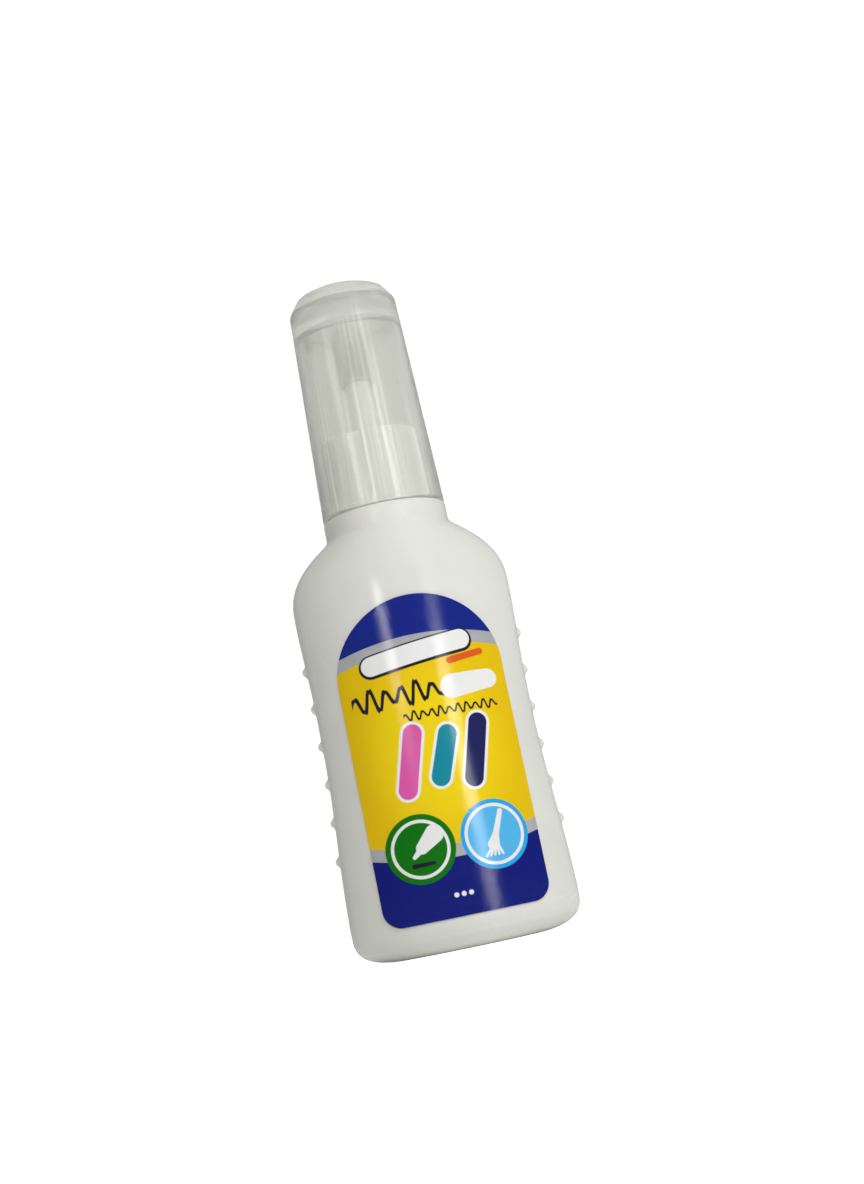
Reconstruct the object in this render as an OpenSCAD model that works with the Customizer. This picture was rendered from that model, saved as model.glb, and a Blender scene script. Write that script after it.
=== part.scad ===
// Correction fluid bottle: an oval squeeze bottle, a screw-on nozzle that carries a
// sprung metal tip above and a brush below, and a clear push-on cap with a domed top.
// Millimetres. The bottle stands on its base at z = 0, and its label faces -Y.

/* [Bottle] */
// Width of the body at its foot
foot_w = 28.9; // [26:0.1:31]
// Width of the body at its waist
waist_w = 27.1; // [25:0.1:28.5]
// Width of the body where the shoulder starts
bulge_w = 27.9; // [26:0.1:30]
// Depth of the body, front to back
body_d = 18; // [17:0.1:20]
// Radius of the body's narrow sides, which join its round front and back
side_round = 4; // [3:0.1:5]
// Thickness of the blown wall
wall = 0.9; // [0.6:0.05:1.3]
// Radius of the rounded bottom edge
base_round = 3.5; // [2.5:0.1:4.5]
// Extra reach of that edge under the narrow sides, as a share of its radius
heel_share = 0.8; // [0:0.1:1]
// Width of the flat ring that the bottle stands on
foot_band = 1.6; // [1:0.1:2]
// Height that the middle of the base is pushed up
foot_rise = 0.5; // [0.3:0.1:1]
// Height at which the waist begins
waist_z = 27.5; // [22:0.5:29]
// Height at which the waist ends
waist_top_z = 31; // [30:0.5:34]
// Height at which the shoulder starts
shoulder_z = 44.5; // [44:0.1:46.5]
// Height at which the shoulder meets the upright ring
shoulder_end_z = 53.2; // [52:0.1:54]
// Height of the ring's top, which the nozzle and the cap close on
ring_z = 55.9; // [55:0.1:59]
// Outer diameter of the neck, under its thread
neck_d = 10; // [9.4:0.1:10.6]
// Height of the neck above the ring
neck_h = 8.1; // [7:0.1:10]
// Bore of the neck
neck_bore = 7.8; // [7.4:0.1:8.2]

/* [Grip nubs] */
// Number of nubs in the row on each side
nub_rows = 6; // [1:1:6]
// Distance from nub to nub
nub_pitch = 4.83; // [3:0.01:5]
// Height of the lowest nub
nub_z = 13.4; // [10:0.1:16]
// Radius of the ball that each nub is part of
nub_r = 0.65; // [0.6:0.05:1]
// Height of a nub above the body
nub_out = 0.5; // [0.3:0.02:0.55]

/* [Front label] */
// Width of the label across the front
label_w = 20.5; // [17:0.1:22]
// Height of the label's lower edge
label_z = 3.9; // [3.6:0.1:8]
// Height at which the label's arched top starts
label_side_z = 34; // [30:0.5:38]
// Height of the arch's crown
label_top_z = 43.5; // [40:0.1:43.9]
// Radius of the label's lower corners
label_corner = 2.3; // [1:0.1:4]
// Thickness of the label
label_t = 0.12; // [0.08:0.01:0.2]

/* [Contents] */
// Height of the fluid's surface
fill_z = 37; // [25:0.5:42]
// Diameter of the mixing ball
ball_d = 4.8; // [3:0.1:6]
// Distance of the mixing ball from the rounded edge of the floor
ball_edge = 1.5; // [0.5:0.1:3]

/* [Nozzle] */
// Radial room between the neck and the skirt, for the thread
thread_room = 0.85; // [0.6:0.05:1]
// Thickness of the nozzle's skirt
skirt_wall = 0.75; // [0.65:0.05:1]
// Thickness of the nozzle's top plate
plate_t = 1.45; // [1.2:0.05:2]
// Rise of the top plate from its edge to the nose
plate_rise = 0.7; // [0.3:0.1:1.2]
// Diameter of the nose at its root
nose_root_d = 3.5; // [3.4:0.1:4]
// Diameter of the nose at its top
nose_top_d = 3.4; // [3.2:0.1:3.4]
// Height of the nose above the plate's edge
nose_h = 8.5; // [8:0.1:11]
// Number of grip flutes round the skirt
flute_count = 10; // [6:1:12]
// Width of a grip flute
flute_w = 1.7; // [1.2:0.1:1.9]
// Depth of a grip flute
flute_depth = 0.35; // [0.2:0.05:0.4]
// Height of the plain band under the flutes
flute_z = 1.2; // [1:0.1:3]
// Thickness of the sealing washer
washer_t = 0.45; // [0.3:0.05:0.8]
// Depth of the plug ring that reaches into the neck
plug_h = 2; // [1:0.1:2.5]
// Depth of the socket that holds the brush stem
socket_h = 3.2; // [2.5:0.1:5]

/* [Metal tip] */
// Diameter of the tip's shank in the nose
shank_d = 2.3; // [2.1:0.05:2.4]
// Length of the shank in the nose
shank_h = 6; // [5.5:0.1:6.5]
// Wall of the metal tip
tip_wall = 0.3; // [0.2:0.02:0.35]
// Length of the tip above the nose
tip_h = 5.1; // [4:0.1:7]
// Diameter of the tip's end
tip_end_d = 1.5; // [1.3:0.05:1.7]
// Diameter of the sprung pin
pin_d = 0.72; // [0.6:0.02:0.8]
// Length of pin that stands out of the tip
pin_out = 0.4; // [0.3:0.05:0.6]
// Diameter of the spring's wire
wire_d = 0.18; // [0.12:0.01:0.2]
// Number of turns of the spring
spring_turns = 7; // [4:1:9]

/* [Brush] */
// Diameter of the brush stem
stem_d = 3.5; // [3:0.1:3.6]
// Bore of the stem, which feeds the metal tip
stem_bore = 1.8; // [1.4:0.1:2]
// Height of the bristles' ends
bristle_z = 11; // [8:0.5:16]
// Length of bristle that shows
bristle_h = 12; // [8:0.5:14]
// Diameter of the tuft
tuft_d = 2.5; // [2:0.1:2.6]
// Depth of the hole that holds the tuft
tuft_hole = 4; // [3:0.1:6]

/* [Cap] */
// Thickness of the cap's wall
cap_wall = 0.9; // [0.7:0.05:1.2]
// Draft of the cap's sides, in degrees
cap_draft = 1.8; // [1.2:0.1:2.4]
// Thickness of the cap's crown, from the edge of the hollow to its own edge
crown_t = 4; // [1.2:0.1:5]
// Width of the leaning edge round the crown
crown_edge_w = 1.15; // [0.5:0.05:2]
// Height of the leaning edge round the crown
crown_edge_h = 1.7; // [0.8:0.1:2.5]
// Rise of the dome within that edge
dome_h = 1.45; // [0.5:0.05:2.5]
// Width of the leaning edge round the hollow's top
hollow_edge_w = 1; // [0.5:0.05:2]
// Height of the leaning edge round the hollow's top
hollow_edge_h = 1.1; // [0.7:0.1:2]
// Rise of the hollow's own dome
hollow_dome_h = 0.7; // [0.6:0.05:1.2]
// Wall of the tube that seals the nose
seal_wall = 0.55; // [0.4:0.05:0.8]
// Length of nose that the tube covers
seal_lap = 0.7; // [0.5:0.1:2]
// Room over the pin, up to the edge of the hollow's dome
tip_room = 0.3; // [0.2:0.1:3]

/* [Hidden] */
$fn = 64;
part_gap = 0.03;      // between flat faces of pieces that come apart
slide_gap = 0.05;     // radial, round what slides or turns
press_gap = 0.01;     // radial, between pieces pressed together
cap_fit = 0.14;       // radial, between the skirt's top and the cap
wet_gap = 0.3;        // between the fluid and what it touches
eps = 0.01;           // overshoot of cuts

// Shape of the shoulder: how late it falls, and how softly it meets the ring
shoulder_power = 2.4;
shoulder_blend = 0.06;
foot_side_r = 2.6;
oval_sides = 64;
inner_sides = 40;
edge_round = 0.25;

// Levels, from the ring upwards
seat_gap = 0.15;
cap_z = ring_z + seat_gap;
skirt_z = ring_z + seat_gap;
neck_z = ring_z + neck_h;
washer_z = neck_z + part_gap;
roof_z = washer_z + washer_t + part_gap;
plate_z = roof_z + plate_t;
nose_z = plate_z + nose_h;
tip_z = nose_z + tip_h;
pin_z = tip_z + pin_out;
hollow_z = pin_z + tip_room;
crown_z = hollow_z + crown_t;
cap_top_z = crown_z + crown_edge_h + dome_h;

// Radii, from the neck outwards
neck_r = neck_d / 2;
bore_r = neck_bore / 2;
skirt_in_r = neck_r + thread_room;
skirt_r = skirt_in_r + skirt_wall;
cap_slope = tan(cap_draft);
cap_rim_r = skirt_r + cap_fit + cap_wall + cap_slope * (plate_z - cap_z);
ring_r = cap_rim_r + part_gap;

// Metal tip, pin and spring
shank_r = shank_d / 2;
tip_bore_r = shank_r - tip_wall;
tip_foot_z = nose_z - shank_h;
pin_r = pin_d / 2;
orifice_r = pin_r + slide_gap;
orifice_h = 0.7;
seat_slope = 1.8;
seat_z = tip_z - orifice_h - (tip_bore_r - orifice_r) * seat_slope;
collar_r = tip_bore_r - 3 * slide_gap;
collar_h = 0.9;
pin_shoulder_z = seat_z + (tip_bore_r - collar_r) * seat_slope - slide_gap;
collar_z = pin_shoulder_z - collar_h;
tail_h = 4.4;
pin_travel = 0.5;
retainer_h = 2.4;
retainer_z = tip_foot_z + 0.4;
spring_z = retainer_z + retainer_h + part_gap;
spring_r = tip_bore_r - slide_gap * 1.5 - wire_d / 2;

// Brush
stem_r = stem_d / 2;
socket_z = roof_z - socket_h;
stem_top_z = roof_z + 0.5;
feed_r = stem_bore / 2;
tuft_r = tuft_d / 2;
stem_foot_z = bristle_z + bristle_h;
tuft_top_z = stem_foot_z + tuft_hole;
anchor_t = 0.3;
anchor_h = 1;
port_z = socket_z - 2;
port_r = 0.65;
floor_z = foot_rise + wall;
ball_x = foot_w / 2 - base_round - ball_edge - ball_d / 2;

function clamp01(t) = max(0, min(1, t));
function ease(t) = (1 - cos(180 * clamp01(t))) / 2;

// Share of the body's section that is left at a height: 1 below the shoulder, 0 in the ring
function shoulder_share(z) =
    z <= shoulder_z ? 1 :
    let (t = (z - shoulder_z) / (shoulder_end_z - shoulder_z))
    shoulder_blend * ln(1 + exp((1 - pow(t, shoulder_power)) / shoulder_blend));

function body_half_w(z) =
    foot_w / 2 - (foot_w - waist_w) / 2 * ease((z - base_round) / (waist_z - base_round))
    + (bulge_w - waist_w) / 2 * ease((z - waist_top_z) / (shoulder_z - waist_top_z));
function half_w(z) = ring_r + (body_half_w(z) - ring_r) * shoulder_share(z);
function half_d(z) = ring_r + (body_d / 2 - ring_r) * shoulder_share(z);
function side_r(z) = ring_r + (side_round - ring_r) * shoulder_share(z);

// Radius of the front and back arcs that meet side arcs of radius r smoothly
function front_r(w, d, r) = (pow(w - r, 2) + d * d - r * r) / (2 * (d - r));
// Point of a quarter of the section where its normal stands at angle a from the depth
function quarter(w, d, r, a) =
    let (front = front_r(w, d, r), join = atan2(w - r, front - d))
    a <= join ? [front * sin(a), front * cos(a) - front + d]
              : [w - r + r * sin(a), r * cos(a)];

// One ring of the body at height z, drawn in by inset, and by heel more at the narrow sides;
// level is where its points lie. Under the base the sides keep a small round of their own.
function oval_ring(z, inset, sides, level, heel = 0) =
    let (w = half_w(z) - inset - heel, d = half_d(z) - inset, drawn_r = side_r(z) - inset,
         r = drawn_r > foot_side_r ? drawn_r : min(foot_side_r, 0.7 * d))
    [for (i = [0:sides - 1])
        let (a = 360 * (i + 0.5) / sides, c = cos(a), s = sin(a),
             q = quarter(w, d, r, atan2(abs(c), abs(s))))
        [sign(c) * q[0], sign(s) * q[1], level]];
function round_ring(r, z, sides) =
    [for (i = [0:sides - 1]) let (a = 360 * (i + 0.5) / sides) [r * cos(a), r * sin(a), z]];
function steps(low, high, count) = [for (i = [1:count]) low + (high - low) * i / count];

// Rings of a rounded bottom edge of radius r, from the flat at level z up to the side
function base_rings(z, r, inset, sides) =
    [for (a = [0:15:90])
        oval_ring(base_round, inset + r * (1 - sin(a)), sides, z + r * (1 - cos(a)),
                  r * heel_share * pow(1 - sin(a), 2))];
function side_rings(levels, inset, sides) = [for (z = levels) oval_ring(z, inset, sides, z)];

// Closed skin through rings of equal length, lowest ring first
module ring_skin(rings) {
    n = len(rings[0]);
    top = (len(rings) - 1) * n;
    sides = [for (r = [0:len(rings) - 2]) for (i = [0:n - 1])
        let (a = r * n + i, b = r * n + (i + 1) % n)
        each [[a, a + n, b + n], [a, b + n, b]]];
    polyhedron(points = [for (ring = rings) each ring],
               faces = concat([[for (i = [0:n - 1]) i]], sides,
                              [[for (i = [n - 1:-1:0]) top + i]]));
}

// Tube of revolution between two radii
module tube(r_out, r_in, z, h) {
    translate([0, 0, z]) difference() {
        cylinder(r = r_out, h = h);
        translate([0, 0, -eps]) cylinder(r = r_in, h = h + 2 * eps);
    }
}

module body_skin() {
    stand = base_round + foot_band;
    heel = base_round * heel_share;
    ring_skin(concat(
        [oval_ring(base_round, stand + foot_rise * 2, oval_sides, foot_rise, heel)],
        [oval_ring(base_round, stand, oval_sides, 0, heel)],
        base_rings(0, base_round, 0, oval_sides),
        side_rings(steps(base_round, shoulder_z, 12), 0, oval_sides),
        side_rings(steps(shoulder_z, shoulder_end_z, 9), 0, oval_sides),
        side_rings(steps(shoulder_end_z, ring_z - edge_round, 5), 0, oval_sides),
        [oval_ring(ring_z, edge_round, oval_sides, ring_z)]));
}

// The space inside the body, with the wall taken off all round
module inner_skin(inset, low, levels, last) {
    ring_skin(concat(
        base_rings(low, base_round - inset, inset, inner_sides),
        side_rings(levels, inset, inner_sides),
        last));
}

module bottle() {
    hollow_top = ring_z - wall;
    hollow_levels = concat(steps(base_round + foot_rise, shoulder_z, 6),
                           steps(shoulder_z, hollow_top - 1, 7));
    color("white") difference() {
        union() {
            body_skin();
            translate([0, 0, ring_z - wall]) cylinder(r = neck_r, h = neck_h + wall);
            for (side = [-1, 1], i = [0:nub_rows - 1])
                let (z = nub_z + i * nub_pitch)
                translate([side * (half_w(z) + nub_out - nub_r), 0, z]) sphere(r = nub_r);
        }
        inner_skin(wall, floor_z, hollow_levels, [round_ring(bore_r - eps, hollow_top, inner_sides)]);
        translate([0, 0, hollow_top - wall / 2]) cylinder(r = bore_r, h = neck_h + 2 * wall);
    }
}

// Point of the front arc at x and z, moved out along the surface's own normal
function front_point(x, z, out) =
    let (d = half_d(z), front = front_r(half_w(z), d, side_r(z)), a = asin(x / front))
    [(front + out) * sin(a), front - d - (front + out) * cos(a), z];

// Lower and upper edge of the label at x: round corners below, an arch above
function label_low(x) =
    let (in_corner = abs(x) - (label_w / 2 - label_corner))
    label_z + (in_corner <= 0 ? 0 :
        label_corner - sqrt(max(0, pow(label_corner, 2) - pow(in_corner, 2))));
function label_high(x) =
    label_side_z + (label_top_z - label_side_z) * sqrt(max(0, 1 - pow(2 * x / label_w, 2)));

module front_label() {
    columns = 30;
    rows = 14;
    stack = (columns + 1) * (rows + 1);
    points = [for (out = [part_gap, part_gap + label_t]) for (r = [0:rows]) for (c = [0:columns])
        let (x = label_w / 2 * sin(90 * (2 * c / columns - 1)),
             z = label_low(x) + (label_high(x) - label_low(x)) * r / rows)
        front_point(x, z, out)];
    function at(r, c) = r * (columns + 1) + c;
    back = [for (r = [0:rows - 1]) for (c = [0:columns - 1])
        each [[at(r, c), at(r, c + 1), at(r + 1, c + 1)],
              [at(r, c), at(r + 1, c + 1), at(r + 1, c)]]];
    front = [for (f = back) [f[2] + stack, f[1] + stack, f[0] + stack]];
    rim = concat([for (c = [0:columns]) at(0, c)], [for (r = [1:rows]) at(r, columns)],
                 [for (c = [columns - 1:-1:0]) at(rows, c)], [for (r = [rows - 1:-1:1]) at(r, 0)]);
    edge = [for (i = [0:len(rim) - 1])
        let (a = rim[i], b = rim[(i + 1) % len(rim)])
        each [[a, a + stack, b + stack], [a, b + stack, b]]];
    color("royalblue") polyhedron(points = points, faces = concat(back, front, edge));
}

module correction_fluid() {
    brush_room = stem_r + wet_gap;
    levels = steps(base_round + foot_rise, fill_z, 6);
    color("ivory") difference() {
        inner_skin(wall + wet_gap, floor_z + wet_gap, levels, []);
        translate([0, 0, bristle_z - wet_gap]) cylinder(r = brush_room, h = fill_z);
        translate([ball_x, 0, floor_z + ball_d / 2]) sphere(r = ball_d / 2 + wet_gap);
    }
}

module mixing_ball() {
    color("silver") translate([ball_x, 0, floor_z + part_gap + ball_d / 2]) sphere(d = ball_d);
}

module seal_washer() {
    color("gainsboro") tube(neck_r - slide_gap, bore_r + slide_gap, washer_z, washer_t);
}

// One grip flute, cut from the front, with a round lower end
module flute() {
    low = skirt_z + flute_z + flute_w / 2;
    translate([0, -skirt_r + flute_depth, low]) rotate([90, 0, 0]) cylinder(d = flute_w, h = 2);
    translate([-flute_w / 2, -skirt_r + flute_depth - 2, low]) cube([flute_w, 2, plate_z]);
}

module nozzle_body() {
    bead_r = 0.3;
    root_r = nose_root_d / 2;
    nose_r = nose_top_d / 2;
    fillet = 0.6;
    slope_z = plate_z + plate_rise;
    rotate_extrude() polygon(concat(
        [[skirt_in_r, skirt_z], [skirt_r, skirt_z], [skirt_r, plate_z - edge_round],
         [skirt_r - edge_round, plate_z]],
        [for (a = [0:15:90])
            [root_r + fillet * (1 - sin(a)), slope_z + fillet * (1 - cos(a))]],
        [[nose_r, nose_z - edge_round], [nose_r - edge_round, nose_z], [0, nose_z],
         [0, roof_z], [skirt_in_r, roof_z]]));
    translate([0, 0, skirt_z + 2 * bead_r])
        rotate_extrude() translate([skirt_r, 0]) circle(r = bead_r, $fn = 24);
    tube(bore_r - slide_gap, bore_r - slide_gap - 0.6, roof_z - plug_h, plug_h + eps);
    translate([0, 0, socket_z]) cylinder(r = stem_r + 0.7, h = socket_h + eps);
}

module nozzle() {
    first_flute = -19;
    shank_room = shank_r + press_gap;
    color("white") difference() {
        nozzle_body();
        for (i = [0:flute_count - 1]) rotate([0, 0, first_flute + 360 * i / flute_count]) flute();
        translate([0, 0, socket_z - eps])
            cylinder(r = stem_r + press_gap, h = stem_top_z + part_gap - socket_z + eps);
        translate([0, 0, roof_z]) cylinder(r = tip_bore_r, h = nose_h + plate_t);
        translate([0, 0, tip_foot_z - part_gap]) cylinder(r = shank_room, h = shank_h + 1);
    }
}

module tip_tube() {
    flange_r = shank_r + 0.3;
    flange_h = 0.35;
    barrel_z = tip_z - 2.1;
    end_r = tip_end_d / 2;
    color("silver") difference() {
        rotate_extrude() polygon([
            [0, tip_foot_z], [shank_r, tip_foot_z], [shank_r, nose_z + part_gap],
            [flange_r, nose_z + part_gap], [flange_r, nose_z + flange_h],
            [shank_r, nose_z + flange_h + 0.15], [shank_r, barrel_z],
            [end_r, tip_z - 0.2], [end_r - 0.2, tip_z], [0, tip_z]]);
        rotate_extrude() polygon([
            [0, tip_foot_z - 1], [tip_bore_r, tip_foot_z - 1], [tip_bore_r, seat_z],
            [orifice_r, tip_z - orifice_h], [orifice_r, tip_z + 1], [0, tip_z + 1]]);
    }
}

module spring_retainer() {
    guide_r = pin_r + slide_gap;
    feed_slots = 3;
    slot_r = 0.24;
    color("whitesmoke") translate([0, 0, retainer_z]) difference() {
        cylinder(r = tip_bore_r - press_gap, h = retainer_h);
        translate([0, 0, -eps]) cylinder(r = guide_r, h = retainer_h + 2 * eps);
        for (i = [0:feed_slots - 1]) rotate([0, 0, 360 * i / feed_slots])
            translate([tip_bore_r, 0, -eps]) cylinder(r = slot_r, h = retainer_h + 2 * eps);
    }
}

module tip_pin() {
    nose_cone_z = pin_shoulder_z + (collar_r - pin_r) * seat_slope;
    color("gray") union() {
        rotate_extrude() polygon([
            [0, collar_z - tail_h], [pin_r, collar_z - tail_h], [pin_r, collar_z],
            [collar_r, collar_z], [collar_r, pin_shoulder_z], [pin_r, nose_cone_z],
            [pin_r, pin_z - pin_r], [0, pin_z - pin_r]]);
        translate([0, 0, pin_z - pin_r]) sphere(r = pin_r);
    }
}

// Helical spring, swept as one closed tube of wire
module pin_spring() {
    per_turn = 12;
    wire_sides = 6;
    wire_r = wire_d / 2;
    low = spring_z + wire_r;
    rise = collar_z - part_gap - wire_r - low;
    count = spring_turns * per_turn;
    rings = [for (i = [0:count])
        let (a = 360 * i / per_turn, z = low + rise * i / count)
        [for (k = [0:wire_sides - 1])
            let (b = 360 * k / wire_sides, r = spring_r + wire_r * cos(b))
            [r * cos(a), r * sin(a), z + wire_r * sin(b)]]];
    n = wire_sides;
    last = count * n;
    sides = [for (r = [0:count - 1]) for (i = [0:n - 1])
        let (a = r * n + i, b = r * n + (i + 1) % n)
        each [[a, b + n, a + n], [a, b, b + n]]];
    color("lightgray") polyhedron(points = [for (ring = rings) each ring],
        faces = concat([[for (i = [n - 1:-1:0]) i]], sides, [[for (i = [0:n - 1]) last + i]]));
}

module brush_stem() {
    color("whitesmoke") difference() {
        rotate_extrude() polygon([
            [0, stem_foot_z], [stem_r - edge_round, stem_foot_z],
            [stem_r, stem_foot_z + edge_round], [stem_r, stem_top_z], [0, stem_top_z]]);
        translate([0, 0, tuft_top_z + 1]) cylinder(r = feed_r, h = stem_top_z);
        translate([0, 0, stem_foot_z - eps]) cylinder(r = tuft_r + press_gap, h = tuft_hole + part_gap);
        translate([-stem_r, 0, port_z]) rotate([0, 90, 0]) cylinder(r = port_r, h = 2 * stem_r);
        translate([0, stem_r, port_z]) rotate([90, 0, 0]) cylinder(r = port_r, h = 2 * stem_r);
    }
}

// The flat wire that the bristles fold over
module tuft_anchor() {
    color("silver") translate([-tuft_r + 0.1, -anchor_t / 2, tuft_top_z - anchor_h - 0.3])
        cube([2 * tuft_r - 0.2, anchor_t, anchor_h]);
}

module bristles() {
    spread = 0.25;
    tip_r = 0.8;
    shoulder_w = 0.35;
    shoulder_h = 0.6;
    belly = 0.4;
    slot_gap = 0.02;
    color("lightyellow") difference() {
        rotate_extrude() polygon([
            [0, bristle_z], [tip_r, bristle_z], [tip_r + shoulder_w, bristle_z + shoulder_h],
            [tuft_r + spread, bristle_z + bristle_h * belly], [tuft_r, stem_foot_z],
            [tuft_r, tuft_top_z], [0, tuft_top_z]]);
        translate([-tuft_r - 1, -anchor_t / 2 - slot_gap, tuft_top_z - anchor_h - 0.3 - slot_gap])
            cube([2 * tuft_r + 2, anchor_t + 2 * slot_gap, anchor_h + 1]);
    }
}

// Radius of the cap's outside at a height
function cap_r(z) = cap_rim_r - cap_slope * (z - cap_z);

// Outline over a rim of radius r at level z: an edge that leans in by edge_w over edge_h,
// then a shallow dome of the given rise
function crown(r, z, edge_w, edge_h, rise) =
    let (top_r = r - edge_w, ball = (top_r * top_r + rise * rise) / (2 * rise),
         sweep = asin(top_r / ball), count = 8)
    concat([[r, z]], [for (k = [0:count])
        let (a = sweep * (1 - k / count))
        [ball * sin(a), z + edge_h + rise - ball * (1 - cos(a))]]);

module cap() {
    tube_in_r = nose_top_d / 2 + 1.6 * slide_gap;
    tube_out_r = tube_in_r + seal_wall;
    tube_z = nose_z - seal_lap;
    pin_room = 1.5;
    chamfer = 0.2;
    color("lightgray", 0.5) difference() {
        rotate_extrude() polygon(concat(
            [[0, cap_z], [cap_rim_r - chamfer, cap_z], [cap_rim_r, cap_z + chamfer]],
            crown(cap_r(crown_z), crown_z, crown_edge_w, crown_edge_h, dome_h)));
        difference() {
            rotate_extrude() polygon(concat(
                [[0, cap_z - 1], [cap_rim_r - cap_wall + cap_slope, cap_z - 1]],
                crown(cap_r(hollow_z) - cap_wall, hollow_z, hollow_edge_w, hollow_edge_h, hollow_dome_h)));
            translate([0, 0, tube_z]) cylinder(r = tube_out_r, h = cap_top_z);
        }
        translate([0, 0, tube_z - eps]) cylinder(r = tube_in_r, h = pin_z + pin_room - tube_z);
    }
}

bottle();
front_label();
correction_fluid();
mixing_ball();
seal_washer();
nozzle();
tip_tube();
spring_retainer();
tip_pin();
pin_spring();
brush_stem();
tuft_anchor();
bristles();
cap();
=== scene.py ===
from math import asin, cos, exp, log, pi, radians, sin, sqrt, tan

import bmesh
import bpy
from mathutils import Matrix, Vector


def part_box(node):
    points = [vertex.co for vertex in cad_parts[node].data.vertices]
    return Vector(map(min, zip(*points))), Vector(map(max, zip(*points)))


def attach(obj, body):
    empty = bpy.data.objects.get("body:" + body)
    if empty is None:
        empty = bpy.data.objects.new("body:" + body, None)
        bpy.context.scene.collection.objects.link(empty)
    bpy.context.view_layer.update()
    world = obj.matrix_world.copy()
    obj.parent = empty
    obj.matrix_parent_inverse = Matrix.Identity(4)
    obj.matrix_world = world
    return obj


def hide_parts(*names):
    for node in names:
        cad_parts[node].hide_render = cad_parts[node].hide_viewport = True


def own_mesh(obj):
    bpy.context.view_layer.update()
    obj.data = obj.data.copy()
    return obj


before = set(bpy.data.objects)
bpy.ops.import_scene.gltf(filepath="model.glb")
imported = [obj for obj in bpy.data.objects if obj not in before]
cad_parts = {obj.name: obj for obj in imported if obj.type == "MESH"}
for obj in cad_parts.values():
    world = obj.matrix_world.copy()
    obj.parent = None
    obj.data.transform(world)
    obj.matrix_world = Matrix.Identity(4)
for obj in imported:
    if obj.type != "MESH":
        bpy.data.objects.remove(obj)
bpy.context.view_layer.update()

mm = 0.001


def boxMm(node):  # lowest and highest corner of a CAD node, in millimetres
    low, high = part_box(node)
    return [value / mm for value in low], [value / mm for value in high]


# Formulas inside node trees

class Field:  # a number in a node tree, so that a formula reads as one
    def __init__(self, tree, socket):
        self.tree, self.socket = tree, socket

    def do(self, operation, *others):
        return calc(self.tree, operation, self, *others)

    def clamped(self):
        return self.do("MAXIMUM", 0.0).do("MINIMUM", 1.0)

    def __add__(self, other):
        return self.do("ADD", other)

    def __sub__(self, other):
        return self.do("SUBTRACT", other)

    def __rsub__(self, other):
        return calc(self.tree, "SUBTRACT", other, self)

    def __mul__(self, other):
        return self.do("MULTIPLY", other)

    def __truediv__(self, other):
        return self.do("DIVIDE", other)

    def __pow__(self, other):
        return self.do("POWER", other)

    __radd__ = __add__
    __rmul__ = __mul__


def feed(tree, socket, value):
    if isinstance(value, Field):
        tree.links.new(value.socket, socket)
    elif isinstance(value, bpy.types.NodeSocket):
        tree.links.new(value, socket)
    else:
        socket.default_value = value


def addNode(tree, kind, inputs=None, **settings):
    node = tree.nodes.new(kind)
    for name, value in settings.items():
        setattr(node, name, value)
    for key, value in (inputs or {}).items():
        feed(tree, node.inputs[key], value)
    return node


def calc(tree, operation, *values):
    node = addNode(tree, "ShaderNodeMath", operation=operation)
    for socket, value in zip(node.inputs, values):
        feed(tree, socket, value)
    return Field(tree, node.outputs[0])


def easeBetween(value, low, high):  # 0 below low, 1 above high, smooth between them
    node = addNode(value.tree, "ShaderNodeMapRange", {"Value": value, "From Min": low, "From Max": high},
                   interpolation_type="SMOOTHSTEP")
    return Field(value.tree, node.outputs["Result"])


def hypotenuse(a, b):
    return (a * a + b * b).do("SQRT")


def components(tree, socket):  # the three numbers of a vector
    node = addNode(tree, "ShaderNodeSeparateXYZ", {"Vector": socket})
    return [Field(tree, part) for part in node.outputs]


def vector(tree, x, y, z):
    return addNode(tree, "ShaderNodeCombineXYZ", {"X": x, "Y": y, "Z": z}).outputs[0]


def newTree(name, kind, inputs, outputs, outputKind):
    # An input is given by its default value, or by its kind if it has none
    tree = bpy.data.node_groups.new(name, kind)

    def addSocket(label, side, socketKind):
        return tree.interface.new_socket(label, in_out=side, socket_type="NodeSocket" + socketKind)

    for label, value in inputs.items():
        if isinstance(value, str):
            addSocket(label, "INPUT", value)
        else:
            addSocket(label, "INPUT", "Int" if isinstance(value, int) else "Float").default_value = value
    for label in outputs:
        addSocket(label, "OUTPUT", outputKind)
    source, result = tree.nodes.new("NodeGroupInput"), tree.nodes.new("NodeGroupOutput")

    def given(label):
        return Field(tree, source.outputs[label])
    return tree, given, result


# Geometry Nodes trees

def shapeTree(name, source, values):
    return newTree(name, "GeometryNodeTree", {source: "Geometry", **values, "Material": "Material"},
                   ["Geometry"], "Geometry")


def endShape(tree, given, result, geometry):
    smooth = addNode(tree, "GeometryNodeSetShadeSmooth", {"Geometry": geometry})
    real = addNode(tree, "GeometryNodeRealizeInstances", {"Geometry": smooth.outputs[0]})
    done = addNode(tree, "GeometryNodeSetMaterial", {
        "Geometry": real.outputs[0], "Material": given("Material")})
    feed(tree, result.inputs[0], done.outputs[0])
    return tree


def position(tree):
    return components(tree, tree.nodes.new("GeometryNodeInputPosition").outputs[0])


def moved(tree, geometry, x, y, z, socket="Position"):
    node = addNode(tree, "GeometryNodeSetPosition", {"Geometry": geometry, socket: vector(tree, x, y, z)})
    return node.outputs[0]


def attribute(tree, name, kind="FLOAT"):
    return addNode(tree, "GeometryNodeInputNamedAttribute", {"Name": name}, data_type=kind).outputs[0]


def stored(tree, geometry, name, value, kind="FLOAT"):
    node = addNode(tree, "GeometryNodeStoreNamedAttribute", {
        "Geometry": geometry, "Name": name, "Value": value}, data_type=kind, domain="POINT")
    return node.outputs[0]


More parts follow.
